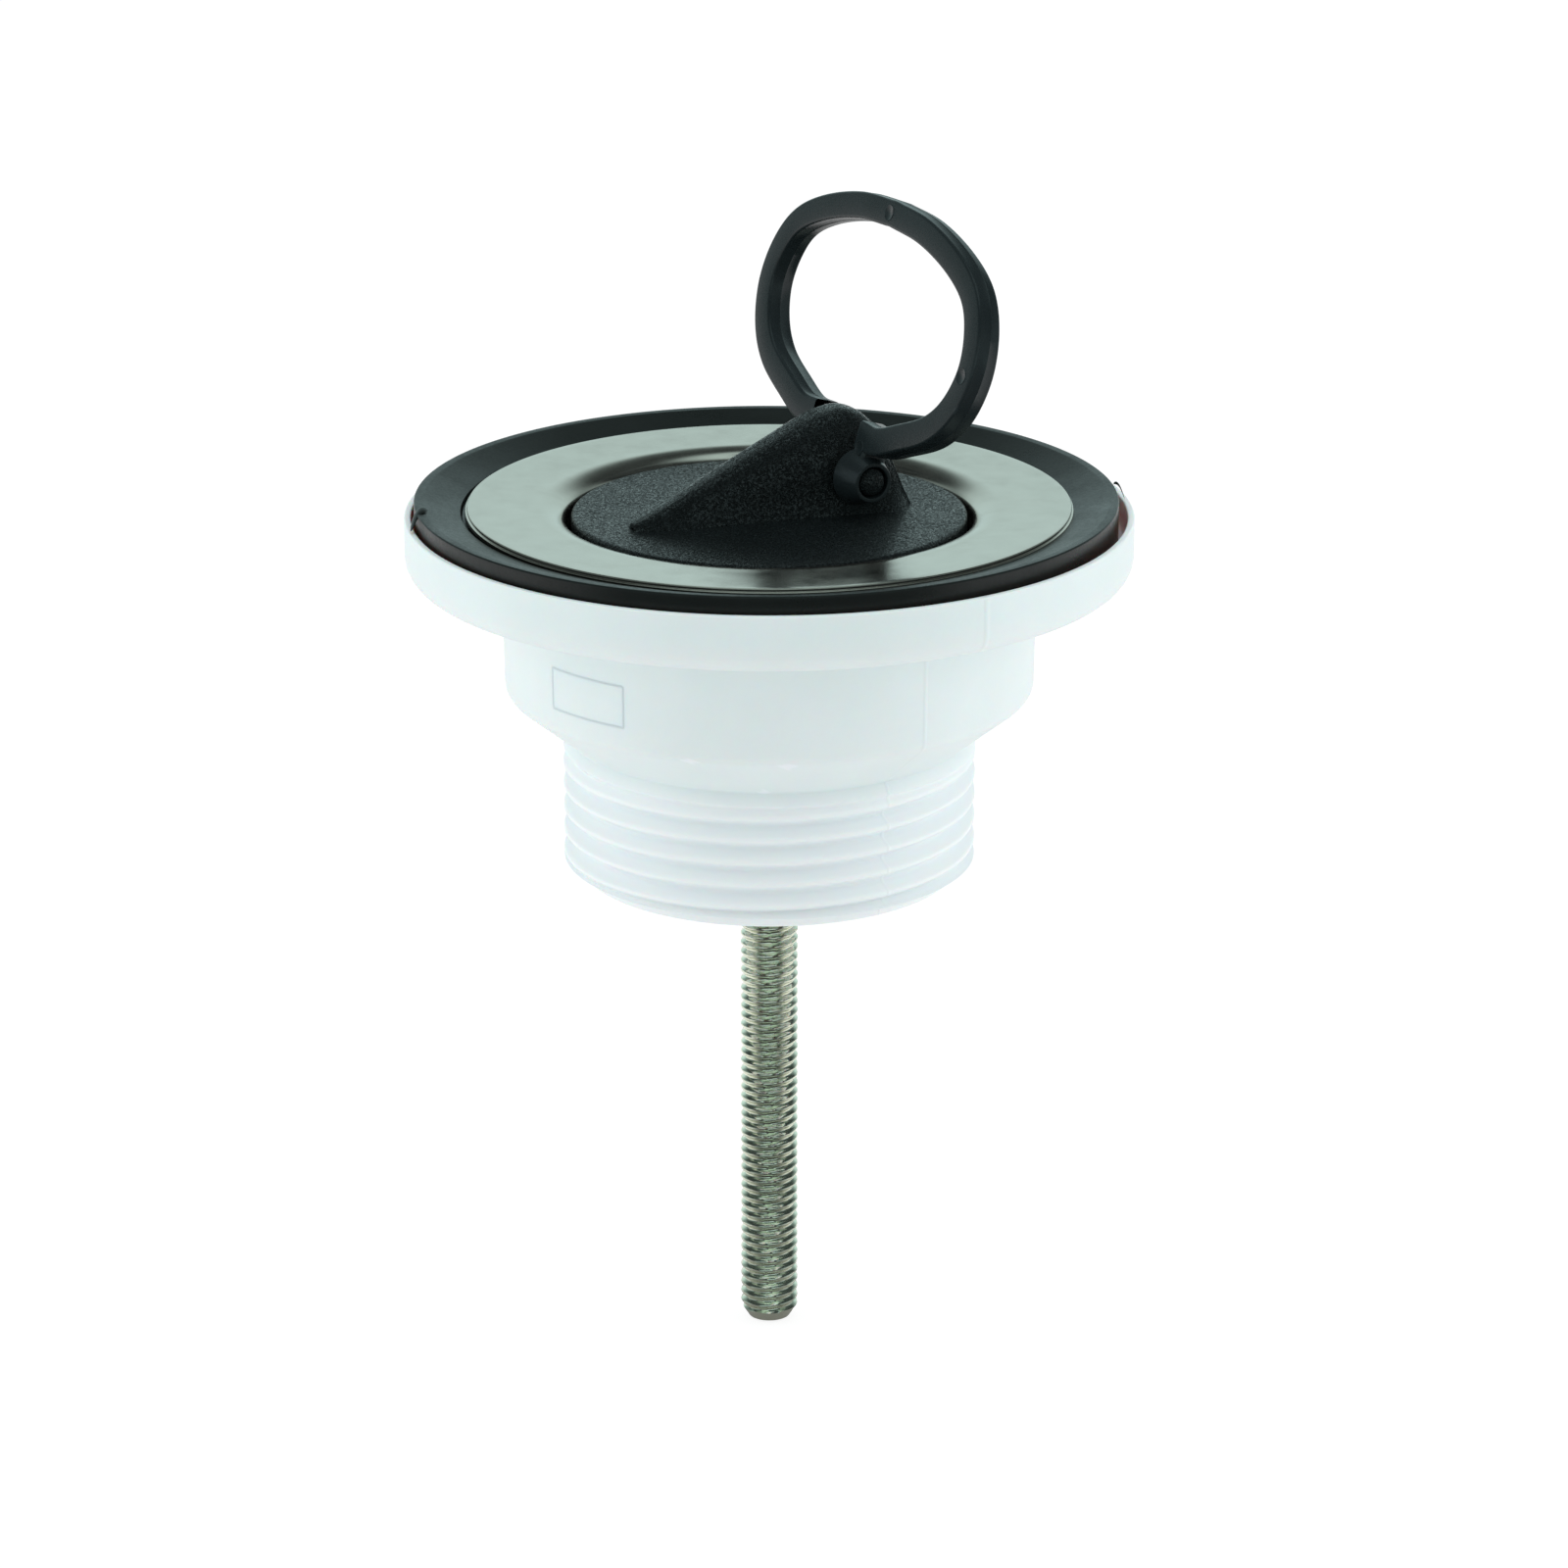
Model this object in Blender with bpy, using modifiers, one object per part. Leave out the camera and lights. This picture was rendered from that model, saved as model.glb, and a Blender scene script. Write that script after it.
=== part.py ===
# Sink waste valve: a pressed steel strainer flange, clamped by one long screw to a moulded body with a pipe
# thread, and a lift-out plug with a hinged pull ring.
# The origin lies on the waste's axis in the plane of the flange's top, which sits on the sink. +Z is up.

import math

import bmesh
import bpy
import numpy as np
from mathutils import Matrix, Vector

# Fits, in metres like every length here
FIT = 0.0003
OVERRUN = 0.001
WELD_DISTANCE = 0.00001

# Facets of round shapes
ROUND_STEPS = 48
SMALL_ROUND_STEPS = 24
THREAD_STEPS = 36
FILLET_STEPS = 3
EDGE_STEPS = 1
SMOOTH_ANGLE = math.radians(35)

# Clamp screw, M6 with a raised countersunk head
SCREW_LENGTH = 0.080
SHANK_RADIUS = 0.00295
HEAD_RADIUS = 0.0055
HEAD_DOME = 0.0013
SLOT_WIDTH = 0.0016
SLOT_DEPTH = 0.0022
TIP_RADIUS = 0.0020
TIP_HEIGHT = 0.0016
TIP_ROUND = 0.0003

# Strainer flange, pressed from one sheet
SHEET = 0.0007
MOUTH_RADIUS = 0.0208
RIM_WIDTH = 0.0097
MOUTH_ROLL = 0.0030
DISH_DEPTH = 0.0090
DISH_TAPER = 0.0014
DISH_ROUND = 0.0018
DRAINS = 10
DRAIN_RADIUS = 0.0026
DRAIN_INSET = 0.0062
DRAIN_STEPS = 16

# Sink gasket, a thick ring that curls up round the flange
GASKET_MARGIN = 0.0048
GASKET_THICKNESS = 0.0027
GASKET_BORE_STEP = 0.00015
GASKET_LIP_RISE = 0.0017
GASKET_LIP_WIDTH = 0.0010
GASKET_ROUND = 0.0006
GASKET_SHIFT = 0.0003

# Body
CUP_PLAY = 0.0006
CUP_WALL = 0.0007
CUP_DEPTH = 0.0031
CUP_FLOOR = 0.0028
CUP_EDGE_ROUND = 0.0020
NECK_CLEARANCE = 0.00295
NECK_WALL = 0.0025
NECK_HEIGHT = 0.0120
NECK_DRAFT = 0.0002
NECK_ROUND = 0.0013
STEP_HEIGHT = 0.0052
STEP_FOOT = 0.0007
COLLAR_HEIGHT = 0.0012
THREAD_RADIUS = 0.02095
THREAD_LENGTH = 0.0129
SPIGOT_INSET = 0.00155
SPIGOT_LENGTH = 0.0014
PIPE_WALL = 0.0022
EDGE_ROUND = 0.0003

# Pipe thread, right-handed, 11 turns to the inch. Shares are of its pitch
THREAD_PITCH = 0.002309
THREAD_DEPTH_SHARE = 0.54
THREAD_ROOT_SHARE = 0.15
THREAD_START_SHARE = 0.30
THREAD_OVERCUT_SHARE = 0.20
THREAD_FLANK = math.radians(27.5)
THREAD_START = math.radians(176)

# Cross of ribs and hub inside the body
HUB_RADIUS = 0.0078
HUB_GAP = 0.0010
HUB_HEIGHT = 0.0095
RIB_THICKNESS = 0.0024
RIB_DROP = 0.0022
RIB_LINES = 2

# Captive nut
NUT_FLATS = 0.0100
NUT_HEIGHT = 0.0050
NUT_CHAMFER = 0.0005

# Plug
PLUG_GAP = 0.0009
PLUG_DROP = 0.0009
DISC_THICKNESS = 0.0020
DISC_BEVEL = 0.0006
SKIRT_INSET = 0.0031
SKIRT_WALL = 0.0022
SKIRT_FOOT_REACH = 0.0015
SKIRT_FOOT_HEIGHT = 0.0011
SEAL_HEIGHT = 0.0022
SEAL_WALL = 0.0018
SEAL_LIP_DEPTH = 0.0008

# Handle fin on the plug
HANDLE_TURN = math.radians(27)
FIN_TOE_INSET = 0.0047
FIN_HEEL_INSET = 0.0061
FIN_HEIGHT = 0.0100
FIN_HALF_WIDTH = 0.0062
FIN_FLARE_HEIGHT = 0.0022
FIN_DRAFT_SHARE = 0.12
FIN_CREST_POWER = 3.2
# Each row: place of the section's foot and of its ridge along the fin from toe to heel, half width at the foot
# and of the wall above the flare, and ridge height, as shares of the fin's length, half width and height
FIN_SECTION_SHARES = (
    (0.000, 0.000, 0.02, 0.02, 0.010),
    (0.016, 0.017, 0.15, 0.10, 0.050),
    (0.060, 0.064, 0.26, 0.19, 0.115),
    (0.131, 0.138, 0.35, 0.27, 0.210),
    (0.303, 0.314, 0.48, 0.41, 0.470),
    (0.517, 0.524, 0.61, 0.54, 0.745),
    (0.697, 0.672, 0.76, 0.66, 0.930),
    (0.834, 0.772, 0.89, 0.71, 1.000),
    (0.912, 0.824, 1.00, 0.72, 0.985),
    (0.962, 0.862, 0.86, 0.68, 0.930),
    (1.000, 0.886, 0.66, 0.60, 0.840),
)
FIN_LEVEL_SHARES = (0.0, 0.06, 0.14, 0.24, 0.40, 0.58, 0.74, 0.86, 0.94, 0.985, 1.0)

# Pins on the fin and the pull ring that hangs on them
PIN_INSET = 0.00625
PIN_HEIGHT = 0.0039
PIN_RADIUS = 0.0014
PIN_DOME = 0.0009
DOME_STEPS = 4
SEAT_HALF_WIDTH = 0.0045
SEAT_MARGIN = 0.0004
EYELET_RADIUS = 0.0030
EYELET_WALL = 0.0003
EYELET_LENGTH = 0.0032
EYELET_PLAY = 0.0003
EYELET_NECK_WIDTH = 0.0016
RING_TILT = math.radians(16.6)
RING_HALF_WIDTH = 0.0227
RING_RISE = 0.0272
RING_BAND = 0.00275
RING_DEPTH = 0.0028
RING_ROUND = 0.0004
RING_SPAN_STEPS = 4
RING_BAR_HEIGHT = 0.0041
# The ring's back face leans forward from this height up, by this share of the climb
RING_LEAN_START = 0.0092
RING_LEAN_SHARE = 0.03
# Middle of the band on half the ring, from the top round to the bar, as shares of the half width and rise of the
# middle line, and the band's width there as a share of its full width
RING_LINE_SHARES = (
    (0.000, 1.000, 0.98),
    (0.312, 0.983, 1.00),
    (0.622, 0.921, 1.00),
    (0.848, 0.832, 1.02),
    (0.963, 0.707, 1.05),
    (0.997, 0.553, 0.99),
    (0.930, 0.398, 0.93),
    (0.785, 0.282, 0.87),
    (0.548, 0.197, 0.86),
)
RING_BAR_SHARE = 0.88

# Heights that several pieces share
DISH_FLOOR_Z = -DISH_DEPTH
GASKET_TOP_Z = -SHEET - FIT
GASKET_FOOT_Z = GASKET_TOP_Z - GASKET_THICKNESS
CUP_FLOOR_Z = GASKET_FOOT_Z - FIT
CUP_TOP_Z = CUP_FLOOR_Z + CUP_DEPTH
CUP_FOOT_Z = CUP_FLOOR_Z - CUP_FLOOR
NECK_FOOT_Z = CUP_FOOT_Z - NECK_HEIGHT
STEP_FOOT_Z = NECK_FOOT_Z - STEP_HEIGHT
COLLAR_FOOT_Z = STEP_FOOT_Z - COLLAR_HEIGHT
THREAD_FOOT_Z = STEP_FOOT_Z - THREAD_LENGTH
SPIGOT_FOOT_Z = THREAD_FOOT_Z - SPIGOT_LENGTH
PLUG_TOP_Z = -PLUG_DROP

# Radii and heights that follow from a mating piece
SCREW_HOLE_RADIUS = SHANK_RADIUS + FIT
SCREW_SEAT_DEPTH = HEAD_RADIUS - SHANK_RADIUS
HEAD_PLANE_Z = DISH_FLOOR_Z + FIT * (math.sqrt(2) - 1)
HUB_TOP_Z = DISH_FLOOR_Z - SCREW_SEAT_DEPTH - SHEET - HUB_GAP
HUB_FOOT_Z = HUB_TOP_Z - HUB_HEIGHT
NUT_FOOT_Z = HUB_FOOT_Z + FIT
NUT_TOP_Z = NUT_FOOT_Z + NUT_HEIGHT
FLANGE_RADIUS = MOUTH_RADIUS + RIM_WIDTH
DISH_FLOOR_RADIUS = MOUTH_RADIUS - DISH_TAPER
DRAIN_CIRCLE = DISH_FLOOR_RADIUS - DRAIN_INSET
NECK_BORE = MOUTH_RADIUS + SHEET + NECK_CLEARANCE
NECK_RADIUS = NECK_BORE + NECK_WALL
GASKET_BORE = NECK_BORE + GASKET_BORE_STEP
GASKET_RADIUS = FLANGE_RADIUS + GASKET_MARGIN
CUP_BORE = GASKET_RADIUS + CUP_PLAY
CUP_RADIUS = CUP_BORE + CUP_WALL
SPIGOT_RADIUS = THREAD_RADIUS - SPIGOT_INSET
PIPE_BORE = SPIGOT_RADIUS - PIPE_WALL
DISC_RADIUS = MOUTH_RADIUS - PLUG_GAP
SKIRT_RADIUS = DISC_RADIUS - SKIRT_INSET
SKIRT_BORE = SKIRT_RADIUS - SKIRT_WALL
DISC_FOOT_Z = PLUG_TOP_Z - DISC_THICKNESS
SEAL_TOP_Z = DISC_FOOT_Z - FIT
SEAL_FOOT_Z = SEAL_TOP_Z - SEAL_HEIGHT
SKIRT_FOOT_TOP_Z = SEAL_FOOT_Z - FIT
SKIRT_FOOT_Z = SKIRT_FOOT_TOP_Z - SKIRT_FOOT_HEIGHT
PIN_Z = PLUG_TOP_Z + PIN_HEIGHT
EYELET_INNER = SEAT_HALF_WIDTH + FIT
EYELET_OUTER = EYELET_INNER + EYELET_LENGTH
FIN_TOE = DISC_RADIUS - FIN_TOE_INSET
FIN_HEEL = DISC_RADIUS - FIN_HEEL_INSET
FIN_LENGTH = FIN_TOE + FIN_HEEL
PIN_ALONG = FIN_HEEL - PIN_INSET


# Scene, collections and materials


def clear_scene():
    for thing in list(bpy.data.objects):
        bpy.data.objects.remove(thing, do_unlink=True)


def new_collection(name):
    collection = bpy.data.collections.new(name)
    bpy.context.scene.collection.children.link(collection)
    return collection


def new_material(name, colour, roughness, metallic):
    material = bpy.data.materials.new(name)
    material.use_nodes = True
    shader = material.node_tree.nodes["Principled BSDF"]
    shader.inputs["Base Color"].default_value = (*colour, 1.0)
    shader.inputs["Roughness"].default_value = roughness
    shader.inputs["Metallic"].default_value = metallic
    return material


def new_object(name, mesh, collection, material=None):
    thing = bpy.data.objects.new(name, mesh)
    collection.objects.link(thing)
    if material:
        mesh.materials.append(material)
    mesh.shade_smooth()
    mesh.set_sharp_from_angle(angle=SMOOTH_ANGLE)
    return thing


def as_cutter(thing, cutters):
    """Moves a helper shape to the cutters and leaves it as a wire outline."""
    for collection in list(thing.users_collection):
        collection.objects.unlink(thing)
    cutters.objects.link(thing)
    thing.hide_render = True
    thing.display_type = "WIRE"
    return thing


def boolean(thing, other, operation):
    modifier = thing.modifiers.new(operation.lower() + "_" + other.name, "BOOLEAN")
    modifier.operation = operation
    modifier.object = other
    modifier.solver = "EXACT"


# Profiles and outlines


def rounded(corners):
    """Turns corners (x, y, fillet radius) of a closed outline into points, with an arc at each fillet.

    A fillet no larger than an edge's usual rounding is one flat step."""
    points = []
    count = len(corners)
    for index, (x, y, radius) in enumerate(corners):
        here = Vector((x, y))
        if radius == 0:
            points.append(here)
            continue
        before = Vector(corners[index - 1][:2]) - here
        after = Vector(corners[(index + 1) % count][:2]) - here
        half = before.angle(after) / 2
        reach = min(radius / math.tan(half), before.length / 2, after.length / 2)
        radius = reach * math.tan(half)
        middle = (before.normalized() + after.normalized()).normalized()
        centre = here + middle * (radius / math.sin(half))
        start = here + before.normalized() * reach - centre
        end = here + after.normalized() * reach - centre
        sweep = start.angle_signed(end)
        steps = FILLET_STEPS if corners[index][2] > EDGE_ROUND else EDGE_STEPS
        for step in range(steps + 1):
            points.append(centre + Matrix.Rotation(-sweep * step / steps, 2) @ start)
    return [(point.x, point.y) for point in points]


def arc(centre_x, centre_y, radius, start, end, steps):
    """Points on an arc between two angles in degrees."""
    turns = [math.radians(start + (end - start) * step / steps) for step in range(steps + 1)]
    return [(centre_x + radius * math.cos(turn), centre_y + radius * math.sin(turn)) for turn in turns]


def turned(name, profile, collection, material=None, closed=True, steps=ROUND_STEPS):
    """A profile of (radius, height) turned about Z. It runs down its outer side; an open one ends on the axis."""
    mesh = bpy.data.meshes.new(name)
    points = [(radius, 0, height) for radius, height in profile]
    edges = [(index, index + 1) for index in range(len(points) - 1)]
    if closed:
        edges.append((len(points) - 1, 0))
    mesh.from_pydata(points, edges, [])
    thing = new_object(name, mesh, collection, material)
    screw = thing.modifiers.new("turn", "SCREW")
    screw.steps = steps
    screw.render_steps = steps
    screw.use_merge_vertices = True
    screw.merge_threshold = WELD_DISTANCE
    screw.use_smooth_shade = True
    return thing


def plate(name, outline, thickness, collection, material=None):
    """A flat outline in XY, thickened evenly to both sides of it."""
    curve = bpy.data.curves.new(name, "CURVE")
    curve.dimensions = "2D"
    curve.fill_mode = "BOTH"
    curve.extrude = thickness / 2
    spline = curve.splines.new("POLY")
    spline.points.add(len(outline) - 1)
    for point, (x, y) in zip(spline.points, outline):
        point.co = (x, y, 0, 1)
    spline.use_cyclic_u = True
    source = bpy.data.objects.new(name + "_outline", curve)
    collection.objects.link(source)
    graph = bpy.context.evaluated_depsgraph_get()
    mesh = bpy.data.meshes.new_from_object(source.evaluated_get(graph))
    mesh.name = name
    bpy.data.objects.remove(source, do_unlink=True)
    weld(mesh)
    return new_object(name, mesh, collection, material)


def dome(radius, rise, foot):
    """Points of a round cap's profile, from its crown on the axis down to its rim."""
    sphere = (radius ** 2 + rise ** 2) / (2 * rise)
    reach = math.degrees(math.asin(radius / sphere))
    return [(0, foot + rise)] + arc(0, foot + rise - sphere, sphere, 90, 90 - reach, DOME_STEPS)[1:]


def weld(mesh):
    shape = bmesh.new()
    shape.from_mesh(mesh)
    bmesh.ops.remove_doubles(shape, verts=shape.verts, dist=WELD_DISTANCE)
    bmesh.ops.recalc_face_normals(shape, faces=shape.faces)
    shape.to_mesh(mesh)
    shape.free()


def cylinder(name, radius, low, high, collection, steps=SMALL_ROUND_STEPS, top_radius=None):
    """A round bar along Z between two heights, tapered if its top has a radius of its own."""
    mesh = bpy.data.meshes.new(name)
    shape = bmesh.new()
    bmesh.ops.create_cone(shape, cap_ends=True, segments=steps, radius1=radius, radius2=top_radius or radius,
                          depth=high - low, matrix=Matrix.Translation((0, 0, (high + low) / 2)))
    shape.to_mesh(mesh)
    shape.free()
    return new_object(name, mesh, collection)


def smooth_line(points, span_steps):
    """Points along a smooth curve through the given ones, a cubic between each pair (Catmull-Rom)."""
    ends = [2 * points[0] - points[1], *points, 2 * points[-1] - points[-2]]
    line = []
    for before, start, end, after in zip(ends, ends[1:], ends[2:], ends[3:]):
        for step in range(span_steps):
            t = step / span_steps
            line.append(0.5 * (2 * start + (end - before) * t + (2 * before - 5 * start + 4 * end - after) * t ** 2
                               + (3 * start - before - 3 * end + after) * t ** 3))
    line.append(points[-1])
    return np.array(line)


def band_outline(line):
    """The outline of a band along an open line of (x, y, width): out on one side, back on the other."""
    middle = line[:, :2]
    direction = np.gradient(middle, axis=0)
    direction /= np.linalg.norm(direction, axis=1)[:, None]
    across = np.stack([-direction[:, 1], direction[:, 0]], axis=1) * line[:, 2:] / 2
    return [tuple(point) for point in np.concatenate([middle + across, (middle - across)[::-1]])]


# Steel parts


def dish_wall_radius(height):
    """Inner radius of the dish's tapered wall at a height below the mouth's roll."""
    fall = (-MOUTH_ROLL - height) / (DISH_DEPTH - MOUTH_ROLL)
    return MOUTH_RADIUS - DISH_TAPER * fall


def build_strainer_flange(collection, cutters):
    """Sheet pressed into a flat rim, a rolled mouth, a tapered dish and a dimple that seats the screw's head."""
    mouth = arc(MOUTH_RADIUS + MOUTH_ROLL, -MOUTH_ROLL, MOUTH_ROLL, 90, 180, 2 * FILLET_STEPS)
    dish = rounded([
        (DISH_FLOOR_RADIUS, DISH_FLOOR_Z, DISH_ROUND),
        (HEAD_RADIUS + FIT, DISH_FLOOR_Z, 0),
        (SCREW_HOLE_RADIUS, DISH_FLOOR_Z - SCREW_SEAT_DEPTH, 0),
        (MOUTH_RADIUS, -MOUTH_ROLL, 0),
    ])[:-1]
    profile = [(FLANGE_RADIUS, 0)] + mouth + dish
    material = new_material("stainless_sheet", (0.62, 0.62, 0.60), 0.32, 1.0)
    flange = turned("strainer_flange", profile, collection, material, closed=False)
    sheet = flange.modifiers.new("sheet", "SOLIDIFY")
    sheet.thickness = SHEET
    sheet.offset = 1
    for index in range(DRAINS):
        turn = 2 * math.pi * (index + 0.5) / DRAINS
        drain = cylinder("drain_cutter_{}".format(index), DRAIN_RADIUS, DISH_FLOOR_Z - SHEET - OVERRUN,
                         DISH_FLOOR_Z + OVERRUN, cutters, DRAIN_STEPS)
        drain.location = (DRAIN_CIRCLE * math.cos(turn), DRAIN_CIRCLE * math.sin(turn), 0)
        boolean(flange, as_cutter(drain, cutters), "DIFFERENCE")
    return flange


def build_clamp_screw(collection, cutters):
    """Raised countersunk head with a slot, a plain shank at the thread's outer radius and a rounded tip."""
    tip_z = HEAD_PLANE_Z - SCREW_LENGTH
    profile = dome(HEAD_RADIUS, HEAD_DOME, HEAD_PLANE_Z) + [
        (SHANK_RADIUS, HEAD_PLANE_Z - SCREW_SEAT_DEPTH),
        (SHANK_RADIUS, tip_z + TIP_HEIGHT),
        (TIP_RADIUS, tip_z + TIP_ROUND),
        (TIP_RADIUS / 2, tip_z),
        (0, tip_z),
    ]
    material = new_material("stainless_screw", (0.66, 0.64, 0.60), 0.28, 1.0)
    screw = turned("clamp_screw", profile, collection, material, closed=False, steps=SMALL_ROUND_STEPS)
    slot_foot = HEAD_PLANE_Z + HEAD_DOME - SLOT_DEPTH
    slot_length = 2 * (HEAD_RADIUS + OVERRUN)
    slot_outline = [
        (-slot_length / 2, slot_foot),
        (slot_length / 2, slot_foot),
        (slot_length / 2, HEAD_PLANE_Z + HEAD_DOME + OVERRUN),
        (-slot_length / 2, HEAD_PLANE_Z + HEAD_DOME + OVERRUN),
    ]
    slot = plate("slot_cutter", slot_outline, SLOT_WIDTH, cutters)
    slot.rotation_euler = (math.pi / 2, 0, HANDLE_TURN)
    boolean(screw, as_cutter(slot, cutters), "DIFFERENCE")
    return screw


# Gasket and seal


def build_sink_gasket(collection):
    """Thick ring under the flange's rim. Past the rim its top curls up to a rounded lip."""
    lip_top_z = GASKET_TOP_Z + GASKET_LIP_RISE
    profile = rounded([
        (GASKET_RADIUS, lip_top_z, GASKET_ROUND),
        (GASKET_RADIUS, GASKET_FOOT_Z, GASKET_ROUND),
        (GASKET_BORE, GASKET_FOOT_Z, 0),
        (GASKET_BORE, GASKET_TOP_Z, 0),
        (FLANGE_RADIUS + 2 * FIT, GASKET_TOP_Z, 0),
        (GASKET_RADIUS - GASKET_LIP_WIDTH, lip_top_z, GASKET_ROUND),
    ])
    material = new_material("black_rubber", (0.018, 0.022, 0.022), 0.55, 0.0)
    gasket = turned("sink_gasket", profile, collection, material)
    gasket.location = (-GASKET_SHIFT, 0, 0)
    return gasket


def build_plug_seal(collection):
    """Soft ring in the plug's groove, with a lip that meets the dish's tapered wall."""
    bore = SKIRT_RADIUS + FIT
    lip_z = SEAL_TOP_Z - SEAL_LIP_DEPTH
    profile = rounded([
        (bore + SEAL_WALL, SEAL_TOP_Z, 0),
        (dish_wall_radius(lip_z) - FIT, lip_z, EDGE_ROUND),
        (bore + SEAL_WALL, SEAL_FOOT_Z, 0),
        (bore, SEAL_FOOT_Z, 0),
        (bore, SEAL_TOP_Z, 0),
    ])
    material = new_material("seal_rubber", (0.020, 0.022, 0.022), 0.60, 0.0)
    return turned("plug_seal", profile, collection, material)


# Body and nut


def body_profile():
    """Section of the body: down the outside from the cup's rim to the spigot, then up through the bore."""
    inner_step_z = NECK_FOOT_Z + NECK_WALL / 2
    return rounded([
        (CUP_RADIUS, CUP_TOP_Z, EDGE_ROUND),
        (CUP_RADIUS, CUP_FOOT_Z, CUP_EDGE_ROUND),
        (NECK_RADIUS, CUP_FOOT_Z, 0),
        (NECK_RADIUS - NECK_DRAFT, NECK_FOOT_Z, NECK_ROUND),
        (THREAD_RADIUS - STEP_FOOT, STEP_FOOT_Z, 0),
        (THREAD_RADIUS, COLLAR_FOOT_Z, EDGE_ROUND),
        (THREAD_RADIUS, THREAD_FOOT_Z, EDGE_ROUND),
        (SPIGOT_RADIUS, THREAD_FOOT_Z, 0),
        (SPIGOT_RADIUS, SPIGOT_FOOT_Z, EDGE_ROUND),
        (PIPE_BORE, SPIGOT_FOOT_Z, EDGE_ROUND),
        (PIPE_BORE, STEP_FOOT_Z + NECK_WALL / 2, 0),
        (NECK_BORE, inner_step_z, NECK_ROUND),
        (NECK_BORE, CUP_FLOOR_Z, EDGE_ROUND),
        (CUP_BORE, CUP_FLOOR_Z, EDGE_ROUND),
        (CUP_BORE, CUP_TOP_Z, EDGE_ROUND),
    ])


def rib_outline():
    """One rib right across the bore, ending in the middle of the walls of the neck and the step."""
    top = HUB_TOP_Z - RIB_DROP
    neck_middle = NECK_RADIUS - NECK_WALL / 2
    pipe_middle = PIPE_BORE + (NECK_RADIUS - NECK_BORE) / 2
    bend_z = NECK_FOOT_Z + NECK_WALL / 4
    pipe_z = STEP_FOOT_Z + NECK_WALL / 4
    share = (bend_z - HUB_FOOT_Z) / (bend_z - pipe_z)
    foot = neck_middle + (pipe_middle - neck_middle) * share
    half = [(neck_middle, top), (neck_middle, bend_z), (foot, HUB_FOOT_Z)]
    return half + [(-x, z) for x, z in reversed(half)]


def hexagon(name, flats, low, high, collection):
    """A six-sided bar along Z, given its width across flats."""
    return cylinder(name, flats / 2 / math.cos(math.pi / 6), low, high, collection, 6)


def thread_groove(cutters):
    """The pipe thread's groove: its section carried down a helix, from the collar past the thread's foot."""
    depth = THREAD_DEPTH_SHARE * THREAD_PITCH
    overcut = THREAD_OVERCUT_SHARE * THREAD_PITCH
    root = THREAD_ROOT_SHARE * THREAD_PITCH / 2
    mouth = root + (depth + overcut) * math.tan(THREAD_FLANK)
    start_z = COLLAR_FOOT_Z - THREAD_START_SHARE * THREAD_PITCH
    steps = math.ceil((start_z - THREAD_FOOT_Z + THREAD_PITCH) / THREAD_PITCH * THREAD_STEPS)
    section = [
        (THREAD_RADIUS - depth, start_z + root),
        (THREAD_RADIUS - depth, start_z - root),
        (THREAD_RADIUS + overcut, start_z - mouth),
        (THREAD_RADIUS + overcut, start_z + mouth),
    ]
    shape = bmesh.new()
    corners = [shape.verts.new((radius, 0, height)) for radius, height in section]
    first = shape.faces.new(corners)
    bmesh.ops.spin(shape, geom=[first], axis=(0, 0, -1), angle=2 * math.pi * steps / THREAD_STEPS, steps=steps,
                   dvec=(0, 0, -THREAD_PITCH / THREAD_STEPS))
    mesh = bpy.data.meshes.new("thread_groove")
    shape.to_mesh(mesh)
    shape.free()
    mesh.transform(Matrix.Rotation(THREAD_START, 4, "Z"))
    weld(mesh)
    return new_object("thread_groove", mesh, cutters)


def build_waste_body(collection, cutters):
    """Cup, neck, step and threaded pipe in one moulding, with a cross of ribs that holds the screw's hub."""
    material = new_material("white_plastic", (0.80, 0.82, 0.83), 0.42, 0.0)
    body = turned("waste_body", body_profile(), collection, material)
    boolean(body, as_cutter(thread_groove(cutters), cutters), "DIFFERENCE")
    hub = cylinder("hub", HUB_RADIUS, HUB_FOOT_Z, HUB_TOP_Z, cutters)
    boolean(body, as_cutter(hub, cutters), "UNION")
    for line in range(RIB_LINES):
        rib = plate("rib_{}".format(line), rib_outline(), RIB_THICKNESS, cutters)
        rib.rotation_euler = (math.pi / 2, 0, math.pi * line / RIB_LINES)
        boolean(body, as_cutter(rib, cutters), "UNION")
    pocket = hexagon("nut_pocket", NUT_FLATS + 2 * FIT, HUB_FOOT_Z - OVERRUN, NUT_TOP_Z + FIT, cutters)
    boolean(body, as_cutter(pocket, cutters), "DIFFERENCE")
    passage = cylinder("screw_passage", SCREW_HOLE_RADIUS, HUB_FOOT_Z, HUB_TOP_Z + OVERRUN, cutters)
    boolean(body, as_cutter(passage, cutters), "DIFFERENCE")
    return body


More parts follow.
